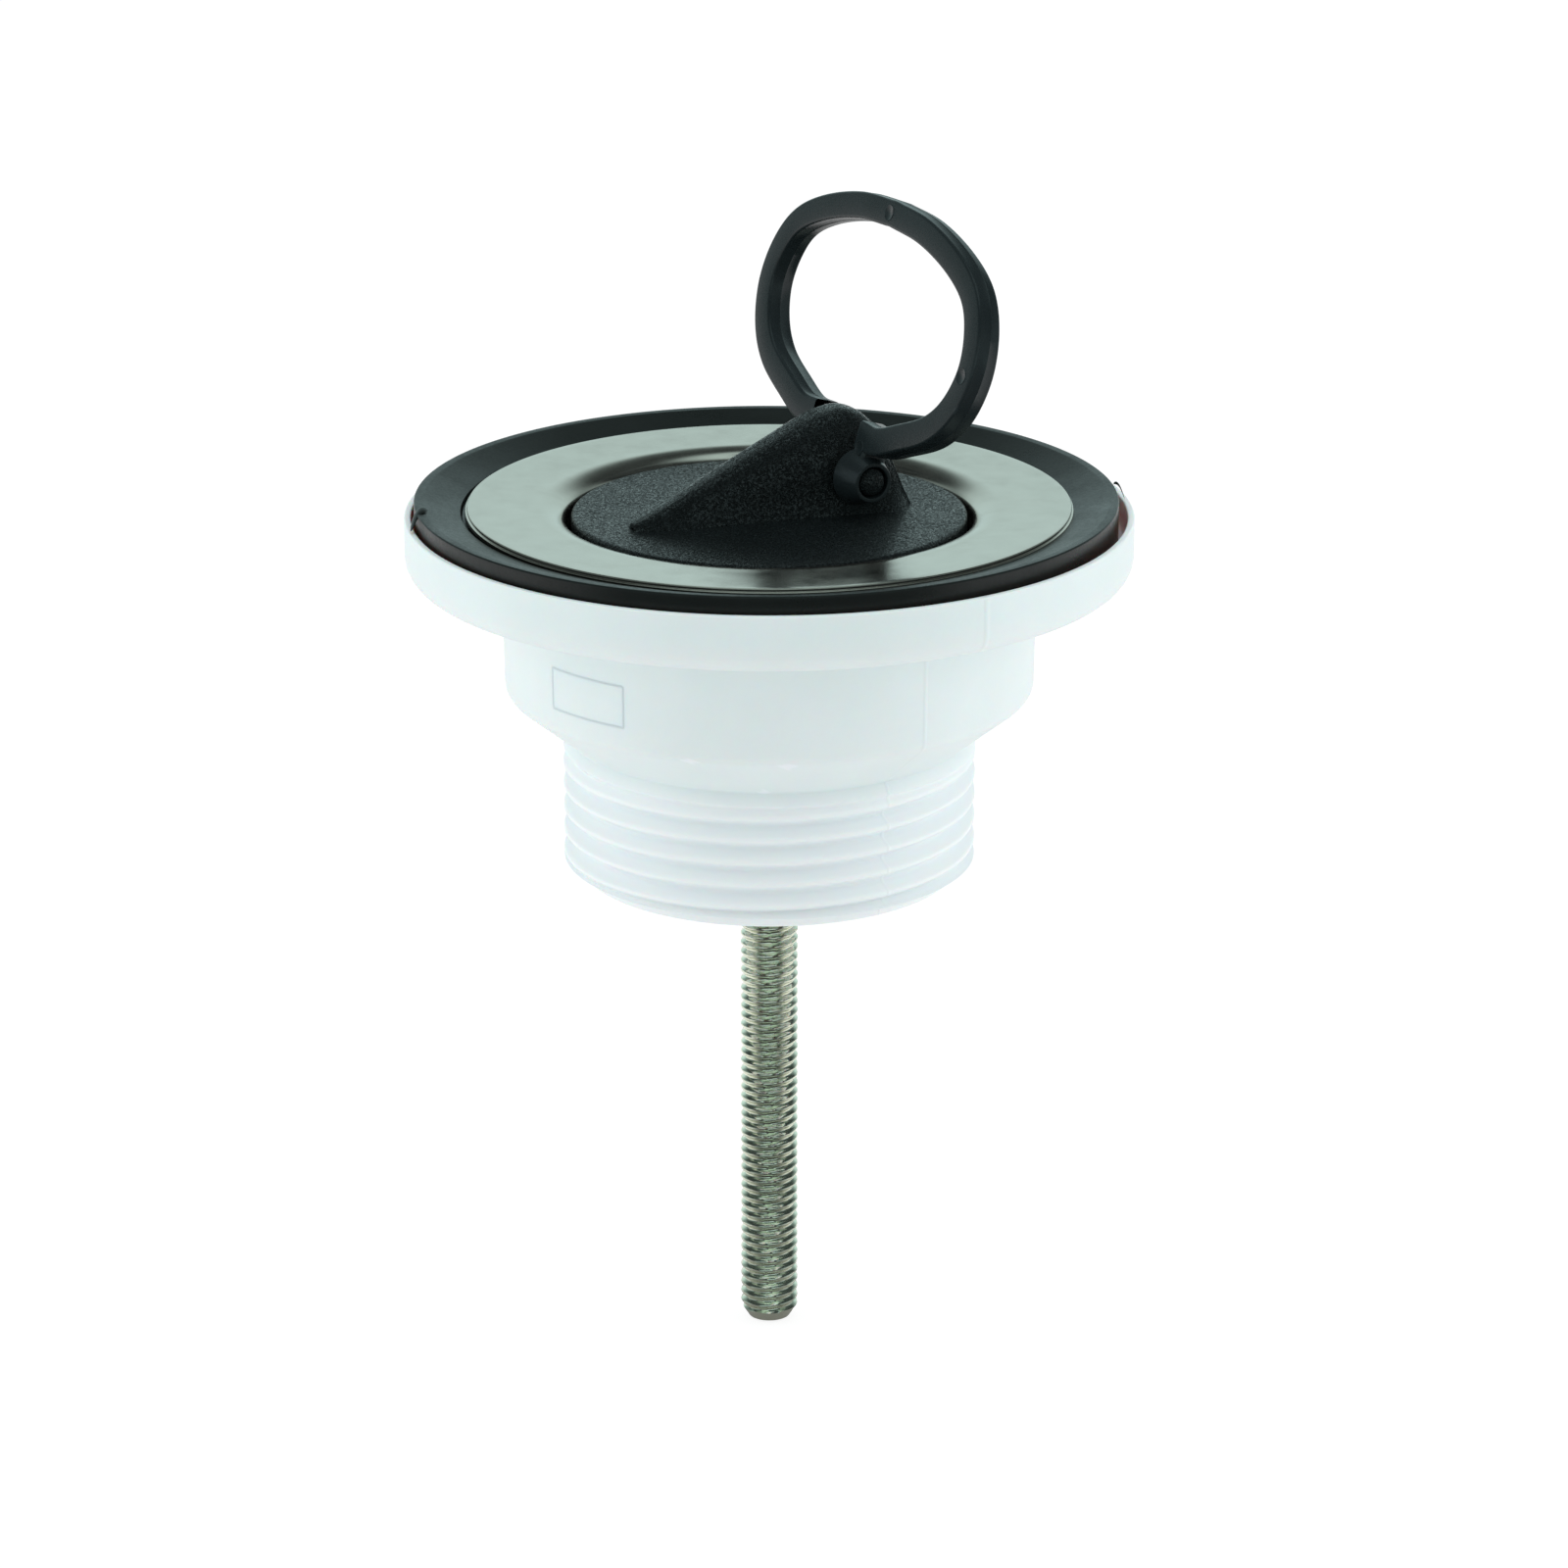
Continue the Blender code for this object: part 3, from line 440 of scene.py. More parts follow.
def new_piece(name, patches, body, node, slot):
    """One mesh in its slot's finish, from grids of (points, whether columns wrap) merged where they meet."""
    points, faces, start = [], [], 0
    for grid, wrap in patches:
        rows, columns = grid.shape[:2]
        points.append(grid.reshape(-1, 3))
        faces.append(grid_faces(rows, columns, wrap, start))
        start += rows * columns
    mesh = bpy.data.meshes.new(name)
    mesh.from_pydata((np.concatenate(points) * MM).tolist(), [], np.concatenate(faces).tolist())
    shape = bmesh.new()
    shape.from_mesh(mesh)
    bmesh.ops.remove_doubles(shape, verts=shape.verts, dist=WELD * MM)
    bmesh.ops.recalc_face_normals(shape, faces=shape.faces)
    shape.to_mesh(mesh)
    shape.free()
    mesh.materials.append(FINISHES[slot])
    mesh.shade_smooth()
    mesh.set_sharp_from_angle(angle=math.radians(SHARP_ANGLE))
    piece = in_scene(name, mesh)
    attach(piece, body)
    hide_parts(node)


# Finishes

# Bands of noise spread over a whole range: clouds, the grain's pits, the grain's tips
CLOUD_BAND = (0.3, 0.7)
PIT_BAND = (0.40, 0.60)
TIP_BAND = (0.50, 0.60)
# How much finer the second grain is, the speckle's share taken off the roughness, the fade to the foot painted
# paler as painted light from below
FINER_GRAINS = 2.6
PIT_GLOSS = 0.4
PAINTED_LIGHT_FADE = 1.5


def add_node(tree, kind, sockets=None, **settings):
    """A node with its settings, and its sockets set to values or linked from other sockets."""
    made = tree.nodes.new(kind)
    for key, value in settings.items():
        setattr(made, key, value)
    for name, value in (sockets or {}).items():
        if isinstance(value, bpy.types.NodeSocket):
            tree.links.new(value, made.inputs[name])
        else:
            made.inputs[name].default_value = value
    return made


def ramp(tree, value, start, end, low=0.0, high=1.0, **settings):
    """A value carried from one range onto another, and held at both ends."""
    return add_node(tree, "ShaderNodeMapRange", {
        "Value": value, "From Min": start, "From Max": end, "To Min": low, "To Max": high,
    }, **settings).outputs["Result"]


def maths(tree, operation, *values, **settings):
    """The result of one operation on numbers or sockets."""
    return add_node(tree, "ShaderNodeMath", dict(enumerate(values)), operation=operation, **settings).outputs[0]


def place_parts(tree, kind="Object"):
    """The X, Y and Z of each point."""
    place = add_node(tree, "ShaderNodeTexCoord").outputs[kind]
    return add_node(tree, "ShaderNodeSeparateXYZ", {"Vector": place}).outputs


def new_effect(name, inputs, output):
    """An empty node group with number inputs, given with their usual values, and one number output."""
    group = bpy.data.node_groups.new(name, "ShaderNodeTree")
    for label, value in inputs.items():
        group.interface.new_socket(label, in_out="INPUT", socket_type="NodeSocketFloat").default_value = value
    group.interface.new_socket(output, in_out="OUTPUT", socket_type="NodeSocketFloat")
    return group, group.nodes.new("NodeGroupInput").outputs


def end_effect(group, result):
    """Puts a result out of a node group."""
    group.links.new(result, group.nodes.new("NodeGroupOutput").inputs[0])
    return group


def moulded_grain_effect():
    """Fine pitted grain of a spark-eroded mould: the mean of small noise and smaller noise."""
    group, given = new_effect("moulded_grain", {"Grains per metre": 2500.0}, "Height")
    place = add_node(group, "ShaderNodeTexCoord").outputs["Object"]
    grains = given["Grains per metre"]
    finer = maths(group, "MULTIPLY", grains, FINER_GRAINS)
    coarse = add_node(group, "ShaderNodeTexNoise", {"Vector": place, "Scale": grains, "Detail": 2.0})
    fine = add_node(group, "ShaderNodeTexNoise", {"Vector": place, "Scale": finer, "Detail": 1.0})
    both = maths(group, "ADD", coarse.outputs["Fac"], fine.outputs["Fac"])
    return end_effect(group, maths(group, "MULTIPLY", both, 0.5))


def mottle_effect():
    """Slow unevenness of a surface: soft clouds between two limits."""
    group, given = new_effect("mottle", {"Clouds per metre": 60.0, "From": 0.0, "To": 1.0}, "Value")
    clouds = add_node(group, "ShaderNodeTexNoise", {
        "Vector": add_node(group, "ShaderNodeTexCoord").outputs["Object"], "Scale": given["Clouds per metre"],
        "Detail": 4.0, "Roughness": 0.6})
    return end_effect(group, ramp(group, clouds.outputs["Fac"], *CLOUD_BAND, given["From"], given["To"]))


def edge_highlight_and_wear_effect():
    """Marks convex edges, where moulded and pressed pieces catch the light and rub bare: the paler colour there is
    partly a painted highlight and partly wear.
    """
    group, given = new_effect("edge", {"Start": 0.52, "Full": 0.62}, "Edge")
    shape = add_node(group, "ShaderNodeNewGeometry")
    return end_effect(group, ramp(group, shape.outputs["Pointiness"], given["Start"], given["Full"]))


def lathe_mark_effect():
    """Hair-fine rings round the axis, from noise read on distance from Z and on height alone."""
    group, given = new_effect("lathe_marks", {"Rings per metre": 6000.0}, "Height")
    parts = place_parts(group)
    flat = add_node(group, "ShaderNodeCombineXYZ", {"X": parts["X"], "Y": parts["Y"]})
    radius = add_node(group, "ShaderNodeVectorMath", {0: flat.outputs[0]}, operation="LENGTH")
    lines = add_node(group, "ShaderNodeCombineXYZ", {"X": radius.outputs["Value"], "Z": parts["Z"]})
    noise = add_node(group, "ShaderNodeTexNoise", {
        "Vector": lines.outputs[0], "Scale": given["Rings per metre"], "Detail": 3.0})
    return end_effect(group, noise.outputs["Fac"])


EFFECTS = {
    "grain": moulded_grain_effect(),
    "mottle": mottle_effect(),
    "edge": edge_highlight_and_wear_effect(),
    "lathe": lathe_mark_effect(),
}


def effect(tree, name, **values):
    """The output of one of the shared effects, placed in a material with its inputs set."""
    made = add_node(tree, "ShaderNodeGroup", node_tree=EFFECTS[name])
    for label, value in values.items():
        made.inputs[label.replace("_", " ")].default_value = value
    return made.outputs[0]


def new_finish(name, **shader_values):
    """A material with its shader's even values set, such as Specular IOR Level or Metallic."""
    material = bpy.data.materials.new(name)
    material.use_nodes = True
    shader = material.node_tree.nodes["Principled BSDF"]
    for label, value in shader_values.items():
        shader.inputs[label.replace("_", " ")].default_value = value
    return material, material.node_tree, shader


def blend_colours(tree, share, first, second):
    """A colour that goes from the first to the second by a share."""
    mix = add_node(tree, "ShaderNodeMix", {"Factor": share}, data_type="RGBA")
    for socket, value in (("A", first), ("B", second)):
        target = [item for item in mix.inputs if item.name == socket and item.type == "RGBA"][0]
        target.default_value = (*value, 1)
    return [item for item in mix.outputs if item.type == "RGBA"][0]


def add_relief(tree, shader, height, depth):
    """Bump from a height of the given depth in millimetres."""
    bump = add_node(tree, "ShaderNodeBump", {"Height": height, "Distance": depth * MM})
    tree.links.new(bump.outputs["Normal"], shader.inputs["Normal"])


def moulded_finish(name, colour, pale, roughness, grain, grain_depth, speckle=0.1, glints=0.0, painted_light_below_z=None,
                    **values):
    """Moulded plastic or rubber: clouded colour, edges painted paler as partly painted highlight and partly wear,
    uneven gloss and the mould's grain, which also shows as a speckle of the given strength in colour and gloss.
    The grain's tips shine by the share given as glints. Below the given height the piece takes its paler colour,
    as painted light from below."""
    material, tree, shader = new_finish(name, **values)
    pits = effect(tree, "grain", Grains_per_metre=grain)
    spots = ramp(tree, pits, *PIT_BAND, -speckle, speckle)
    clouds = effect(tree, "mottle", Clouds_per_metre=90.0, From=0.0, To=0.35)
    # Random clouds, plus edges painted paler: partly a painted highlight, partly wear
    tone_wear_and_painted_light = maths(tree, "ADD", clouds, effect(tree, "edge"))
    # Below the given height the colour is painted paler, as painted light from below
    if painted_light_below_z is not None:
        lower = ramp(tree, place_parts(tree)["Z"], painted_light_below_z * MM, (painted_light_below_z - PAINTED_LIGHT_FADE) * MM)
        tone_wear_and_painted_light = maths(tree, "ADD", tone_wear_and_painted_light, lower)
    share = maths(tree, "ADD", tone_wear_and_painted_light, spots, use_clamp=True)
    tree.links.new(blend_colours(tree, share, colour, pale), shader.inputs["Base Color"])
    gloss = effect(tree, "mottle", Clouds_per_metre=140.0, From=roughness - 0.05, To=roughness + 0.05)
    tree.links.new(maths(tree, "MULTIPLY_ADD", spots, -PIT_GLOSS, gloss), shader.inputs["Roughness"])
    if glints:
        tree.links.new(ramp(tree, pits, *TIP_BAND, 0.0, glints), shader.inputs["Coat Weight"])
    add_relief(tree, shader, pits, grain_depth)
    return material


def steel_finish(name, colour, dark, roughness, rings, ring_depth):
    """Satin metal: hair-fine lathe rings, clouded tone and gloss."""
    material, tree, shader = new_finish(name, Metallic=1.0)
    clouds = effect(tree, "mottle", Clouds_per_metre=120.0, From=0.0, To=0.6)
    tree.links.new(blend_colours(tree, clouds, colour, dark), shader.inputs["Base Color"])
    gloss = effect(tree, "mottle", Clouds_per_metre=300.0, From=roughness - 0.04, To=roughness + 0.05)
    tree.links.new(gloss, shader.inputs["Roughness"])
    add_relief(tree, shader, effect(tree, "lathe", Rings_per_metre=rings), ring_depth)
    return material


# Colour, its paler or darker second, roughness, grains or rings per metre, and their depth in millimetres
FINISHES = {
    # The collar, thread and spigot below the step's foot are painted paler, as painted light from below
    "white_plastic": moulded_finish(
        "white_plastic_moulded", (0.78, 0.865, 0.865), (0.87, 0.935, 0.955), 0.42, 1800.0, 0.010, speckle=0.03,
        painted_light_below_z=STEP_FOOT_Z + 0.2, Specular_IOR_Level=0.4, Subsurface_Weight=0.25, Subsurface_Scale=0.002),
    "black_rubber": moulded_finish(
        "black_rubber_satin", (0.0055, 0.0080, 0.0074), (0.011, 0.016, 0.015), 0.34, 2600.0, 0.012,
        Specular_IOR_Level=0.32),
    "seal_rubber": moulded_finish(
        "seal_rubber_matt", (0.010, 0.012, 0.012), (0.020, 0.024, 0.024), 0.58, 3000.0, 0.010),
    "black_plastic": moulded_finish(
        "black_plastic_eroded", (0.0022, 0.0042, 0.0046), (0.014, 0.022, 0.0235), 0.34, 3600.0, 0.450,
        speckle=0.45, glints=0.8, Specular_IOR_Level=0.30, Coat_Roughness=0.24),
    "black_loop_plastic": moulded_finish(
        "black_plastic_smooth", (0.0095, 0.0150, 0.0162), (0.020, 0.029, 0.032), 0.29, 2400.0, 0.008,
        Specular_IOR_Level=0.28),
    "stainless_sheet": steel_finish(
        "steel_sheet_satin", (0.60, 0.55, 0.49), (0.57, 0.53, 0.47), 0.18, 5200.0, 0.0006),
    "stainless_screw": steel_finish(
        "steel_screw_bright", (0.88, 0.91, 0.75), (0.66, 0.68, 0.55), 0.16, 2600.0, 0.001),
    "brass": steel_finish("brass_turned", (0.62, 0.45, 0.20), (0.50, 0.35, 0.15), 0.30, 3000.0, 0.005),
}


# Body


def pipe_thread(grid):
    """Cuts the pipe thread: radius falls by the thread's depth in its groove, fading out at collar and spigot."""
    down, up = COLLAR_FOOT_Z - grid[..., 2], grid[..., 2] - THREAD_FOOT_Z
    fade = np.clip(down / PIPE_PITCH, 0, 1) * np.clip(up / THREAD_RUN_OUT, 0, 1)
    return push_out(grid, -PIPE_THREAD_DEPTH * thread_groove(grid, PIPE_CREST_Z, PIPE_PITCH) * np.sqrt(fade))


def body_outside():
    """Profile down the outside, from the cup's rim past neck, step, collar and thread to the spigot's foot."""
    thread_top = COLLAR_FOOT_Z - THREAD_LEAD_IN
    upper = rounded_profile([
        (CUP_RADIUS - CUP_WALL / 2, CUP_TOP, 0), (CUP_RADIUS, CUP_TOP, 0.25),
        (CUP_RADIUS, CUP_FOOT_Z, 2.0), (NECK_RADIUS, CUP_FOOT_Z, 0.35),
        (NECK_RADIUS - NECK_TAPER, NECK_FOOT_Z, 1.3), (THREAD_RADIUS - COLLAR_TAPER, STEP_FOOT_Z, 0.25),
        (THREAD_RADIUS, COLLAR_FOOT_Z, 0.4), (THREAD_RADIUS, thread_top, 0)])
    thread_z = np.linspace(thread_top, THREAD_FOOT_Z, PIPE_THREAD_ROWS)
    thread = np.stack([np.full(PIPE_THREAD_ROWS, THREAD_RADIUS), thread_z], axis=1)
    lower = rounded_profile([
        (THREAD_RADIUS, THREAD_FOOT_Z, 0), (SPIGOT_RADIUS, THREAD_FOOT_Z, 0.15),
        (SPIGOT_RADIUS, PIPE_FOOT, 0.3), ((SPIGOT_RADIUS + PIPE_BORE) / 2, PIPE_FOOT, 0)])
    return np.concatenate([close_up(upper, 0.8), thread[1:], close_up(lower, 0.4)[1:]])


def body_inside():
    """Profile up the inside, from the spigot's foot through pipe and neck to the cup's rim."""
    cup_bore = CUP_RADIUS - CUP_WALL
    neck_bore = NECK_RADIUS - NECK_WALL
    return close_up(rounded_profile([
        ((SPIGOT_RADIUS + PIPE_BORE) / 2, PIPE_FOOT, 0), (PIPE_BORE, PIPE_FOOT, 0.3),
        (PIPE_BORE, STEP_FOOT_Z + NECK_WALL / 2, 0.6), (neck_bore, NECK_FOOT_Z + NECK_WALL / 2, 1.3),
        (neck_bore, CUP_FLOOR_Z, 0.3), (cup_bore, CUP_FLOOR_Z, 0.3),
        (cup_bore, CUP_TOP, 0.2), (CUP_RADIUS - CUP_WALL / 2, CUP_TOP, 0)]), 2.0)


def body_turns():
    """Even angles round the body, with closer ones across the two parting lines."""
    across = np.linspace(-1, 1, SEAM_COLUMNS) * PARTING_WIDTH / 2 / THREAD_RADIUS
    seams = np.concatenate([turn + across for turn in PARTING_TURNS]) % (2 * math.pi)
    return np.unique(np.concatenate([even_turns(BODY_COLUMNS), seams]).round(6))


def parting_lines(grid):
    """Raises a thin seam down the outside at each parting line: a low arch across it, from the line's middle."""
    rise = 0
    for turn in PARTING_TURNS:
        aside = (azimuths(grid) - turn + math.pi) % (2 * math.pi) - math.pi
        rise = rise + np.clip(1 - (aside * THREAD_RADIUS * 2 / PARTING_WIDTH) ** 2, 0, 1)
    return push_out(grid, PARTING_RISE * rise)


def neck_panel():
    """A bare rectangle's thin raised outline on the neck: four strips, arched across, that meet at corners."""
    (low_turn, high_turn), (low_z, high_z) = PANEL_TURNS, PANEL_HEIGHTS
    along, across = np.linspace(0, 1, 25)[:, None], np.linspace(-1, 1, 5)[None]
    sideways = across * PANEL_LINE / 2
    level = [(low_turn + (high_turn - low_turn) * along, height + sideways) for height in PANEL_HEIGHTS]
    upright = [(turn + sideways / NECK_RADIUS, low_z + (high_z - low_z) * along) for turn in PANEL_TURNS]
    strips = []
    for turn, height in level + upright:
        fall = (CUP_FOOT_Z - height) / NECK_HEIGHT * NECK_TAPER
        strips.append(points_round(NECK_RADIUS - fall + PANEL_RISE * (1 - across ** 2) - PANEL_SINK, turn, height))
    return strips


def hub_surface():
    """The screw's hub: outside, top with the screw's passage, and foot with the nut's six-sided pocket."""
    outside = rounded_profile([
        (SCREW_HOLE, HUB_TOP - HUB_PASSAGE, 0), (SCREW_HOLE, HUB_TOP, 0.2), (HUB_RADIUS, HUB_TOP, 0.5),
        (HUB_RADIUS, HUB_FOOT, 0.3), (POCKET_MOUTH, HUB_FOOT, 0)])
    flats, roof = NUT_FLATS / 2 + FIT, HUB_FOOT + POCKET_DEPTH
    pocket = np.array([(POCKET_MOUTH, HUB_FOOT), (flats, HUB_FOOT), (flats, roof), (SCREW_HOLE, roof)])
    inside = turned(pocket, HUB_COLUMNS)
    six = 1 / np.cos(off_flat(azimuths(inside[1:3])))
    inside[1:3] = push_out(inside[1:3], flats * (six - 1))
    return [(turned(outside, HUB_COLUMNS), True), (inside, True)]


def rib_surface(turn):
    """One rib from the hub out into the wall: its upright outline, rounded along the top and foot edges."""
    share = np.linspace(0, 1, RIB_ROWS)[:, None]
    start, end = HUB_RADIUS - RIB_SINK, NECK_RADIUS - NECK_WALL / 2
    along = start + (end - start) * share
    top = np.full_like(along, HUB_TOP - RIB_DROP)
    slope = np.clip((along - PIPE_BORE - RIB_STEP) / (NECK_RADIUS - NECK_WALL - PIPE_BORE), 0, 1)
    foot = HUB_FOOT + slope * (NECK_FOOT_Z - HUB_FOOT + RIB_SINK)
    squared, raised = squared_round(RIB_COLUMNS, RIB_SQUARENESS)
    across = RIB_THICKNESS / 2 * squared
    height = (top + foot) / 2 + (top - foot) / 2 * raised
    return turn_z(points_at(along, across, height), turn)


def make_body():
    """The moulding: outside with its thread and parting lines, inside, panel outline, hub and ribs."""
    turns = body_turns()
    outside = parting_lines(pipe_thread(turned(body_outside(), turns)))
    patches = [(outside, True), (turned(body_inside(), turns), True)]
    patches += [(strip, False) for strip in neck_panel()]
    patches += hub_surface()
    patches += [(rib_surface(2 * math.pi * rib / RIBS), True) for rib in range(RIBS)]
    new_piece("body_shell", patches, "body", "waste_body", "white_plastic")


def make_nut():
    """Six-sided nut with chamfered corners: the smaller of hexagon and cone at each turn and height."""
    low, high = NUT_LOW[2], NUT_HIGH[2]
    height = np.concatenate([np.linspace(low, low + NUT_CHAMFER_HEIGHT, 7),
                             np.linspace(high - NUT_CHAMFER_HEIGHT, high, 7)])[:, None]
    turn = even_turns(HUB_COLUMNS)
    hexagon = NUT_FLATS / 2 / np.cos(off_flat(turn))
    cone = NUT_FLATS / 2 + NUT_CHAMFER_START + NUT_CHAMFER_SLOPE * np.minimum(height - low, high - height)
    radius = np.minimum(hexagon[None], cone)
    side = points_round(radius, turn, height)
    bore = SHANK_RADIUS + NUT_THREAD_GAP
    hole = turned(np.array([(bore, high), (bore, low)]), HUB_COLUMNS)
    rows = np.concatenate([hole[1:], side, hole[:1], hole[1:]])
    new_piece("brass_nut", [(rows, True)], "body", "captive_nut", "brass")


# Gasket


def nib_surface(azimuth, sweep, root, tip, width):
    """A torn leaf of rubber at the gasket's edge: a flat oval section carried out over the cup's rim along a bent
    line, widest halfway, its side towards the sweep hanging lower."""
    share = np.linspace(0, 1, NIB_ROWS)[:, None]
    round_turn = even_turns(NIB_COLUMNS)[None]
    half = width * np.sqrt(share * (1 - share))
    turn = math.radians(azimuth) + math.radians(sweep) * share ** NIB_BEND
    radius = root + (tip - root) * share
    middle_z = LIP_TOP + NIB_RISE * np.sin(math.pi * share) - (LIP_TOP - CUP_TOP - NIB_TIP_GAP) * share ** 2
    aside = half * np.cos(round_turn) / radius
    height = middle_z + NIB_THICKNESS * np.sqrt(share * (1 - share)) * np.sin(round_turn)
    height = height - NIB_DROOP * math.copysign(1, sweep) * half * np.cos(round_turn)
    return points_round(radius, turn + aside, height)


def make_gasket():
    """Thick ring: flat under the steel, dished up to a soft lip, with two torn moulding nibs at its edge."""
    middle = (GASKET_UNDER_RIM + GASKET_FOOT) / 2
    profile = rounded_profile([
        (GASKET_BORE, middle, 0), (GASKET_BORE, GASKET_UNDER_RIM, 0.2),
        (FLANGE_RADIUS, GASKET_UNDER_RIM, 0.1), (FLANGE_RADIUS + 0.15, GASKET_BY_RIM, 0.1),
        (GASKET_OUTER - 0.9, LIP_TOP - 0.06, 0.8), (GASKET_OUTER, LIP_TOP, 0.16),
        (GASKET_OUTER, GASKET_FOOT, 0.6), (GASKET_BORE, GASKET_FOOT, 0.2), (GASKET_BORE, middle, 0)])
    grid = turned(close_up(profile, 0.45), GASKET_COLUMNS)
    grid[..., 0] += GASKET_SHIFT
    patches = [(grid, True)] + [(nib_surface(*nib), True) for nib in NIBS]
    new_piece("gasket_ring", patches, "body", "sink_gasket", "black_rubber")


# Flange


def dish_wall(height):
    """Inner radius of the dish's tapered wall at a height."""
    return MOUTH_RADIUS - DISH_TAPER * (-MOUTH_ROLL - height) / (-MOUTH_ROLL - DISH_FLOOR)


def drain_field_radius():
    """Outer radius of the dish's flat floor, which the drains share out."""
    return dish_wall(DISH_FLOOR) - DISH_ROUND - DRAIN_FIELD_MARGIN


def rim_to_floor():
    """Pressed sheet from the middle of the dish's floor edge up the wall, over the mouth's roll, out to the rim
    and back underneath. The rim falls a little towards the mouth."""
    roll = np.radians(np.linspace(180, 90, 25))
    across, up = LIP_RADIUS + ROLL_REACH, -ROLL_DROP
    mouth, under = (
        np.stack([across + (ROLL_REACH - inset) * np.cos(roll), up + (ROLL_DROP - inset) * np.sin(roll)], axis=1)
        for inset in (0, SHEET))
    floor_radius = dish_wall(DISH_FLOOR)
    field_radius = drain_field_radius()
    inner = rounded_profile([
        (field_radius, DISH_FLOOR, 0), (floor_radius, DISH_FLOOR, DISH_ROUND),
        (LIP_RADIUS, LIP_FOOT, 2.0), (*mouth[0], 0)])
    rim = rounded_profile([
        (*mouth[-1], 0), (FLANGE_RADIUS - RIM_LEDGE, 0, 0.12),
        (FLANGE_RADIUS - RIM_LEDGE, RIM_LEDGE_TOP, 0.05), (FLANGE_RADIUS, RIM_LEDGE_FOOT, 0.10),
        (FLANGE_RADIUS, -SHEET, 0.10), (*under[-1], 0)])
    outer = rounded_profile([
        (*under[0], 0), (floor_radius + SHEET, DISH_FLOOR - SHEET, DISH_ROUND + SHEET),
        (field_radius, DISH_FLOOR - SHEET, 0)])
    profile = close_up(np.concatenate([inner, mouth[1:], rim[1:], under[::-1][1:], outer[1:]]), 0.7)
    inward = np.clip((FLANGE_RADIUS - profile[:, 0]) / (FLANGE_RADIUS - MOUTH_RADIUS - MOUTH_ROLL), 0, 1)
    profile[:, 1] -= RIM_FALL * inward * np.clip((profile[:, 1] - DISH_FLOOR) / -DISH_FLOOR, 0, 1)
    return profile


def drain_cell(index):
    """One drain's share of the dish's floor: straight lines from the hole's edge out to the cell's four sides,
    rounded over the hole's lip, and the same below."""
    half = math.pi / DRAINS
    low, high = HEAD_RADIUS + FIT, drain_field_radius()
    turn = (np.arange(DRAIN_COLUMNS) + 0.5) / DRAIN_COLUMNS * 2 * math.pi
    out, aside = np.cos(turn), np.sin(turn)
    # Distance from the hole's middle to each side of the cell, taken in turn and radius
    reach = np.minimum(np.where(out > 0, high - DRAIN_CIRCLE, DRAIN_CIRCLE - low) / np.maximum(np.abs(out), WELD),
                       half * DRAIN_CIRCLE / np.maximum(np.abs(aside), WELD))
    edge = points_round(DRAIN_CIRCLE + out * reach, aside * reach / DRAIN_CIRCLE, DISH_FLOOR)
    lip, hole = (points_at(DRAIN_CIRCLE + out * radius, aside * radius, DISH_FLOOR)
                 for radius in (DRAIN_RADIUS + DRAIN_LIP, DRAIN_RADIUS))
    falls = np.array([0, 0, DRAIN_LIP_DROP, SHEET, SHEET])[:, None, None] * [0, 0, 1]
    return turn_z(np.array([edge, lip, hole, hole, edge]) - falls, 2 * math.pi * (index + 0.5) / DRAINS)


def make_flange():
    """The pressed dish: rim, mouth and wall in one, the screw's seat, and a floor shared out among the drains."""
    seat = rounded_profile([
        (HEAD_RADIUS + FIT, DISH_FLOOR, 0), (SCREW_HOLE, DISH_FLOOR - SEAT_DEPTH, 0.2),
        (SCREW_HOLE, DISH_FLOOR - SEAT_DEPTH - SHEET, 0), (HEAD_RADIUS + FIT + 0.3, DISH_FLOOR - SHEET, 0)])
    patches = [(turned(rim_to_floor(), DISH_COLUMNS), True),
               (turned(close_up(seat, 0.5), SEAT_COLUMNS), True)]
    patches += [(drain_cell(index), True) for index in range(DRAINS)]
    new_piece("flange_pressing", patches, "flange", "strainer_flange", "stainless_sheet")


# Screw


def screw_head():
    """A dome whose height falls with the square of the distance from the axis. Its rows drop down in the slot."""
    side = np.linspace(SLOT_HALF, HEAD_RADIUS, HEAD_ROWS)
    across = np.concatenate([-side[::-1], np.linspace(-SLOT_HALF, SLOT_HALF, 4), side])[:, None]
    along = np.linspace(-1, 1, HEAD_COLUMNS)[None] * np.sqrt(np.maximum(HEAD_RADIUS ** 2 - across ** 2, 0))
    height = HEAD_PLANE + HEAD_DOME * (1 - (along ** 2 + across ** 2) / HEAD_RADIUS ** 2)
    height[HEAD_ROWS:-HEAD_ROWS] = HEAD_PLANE + HEAD_DOME - SLOT_DEPTH
    return on_plug(points_at(along, across, height))


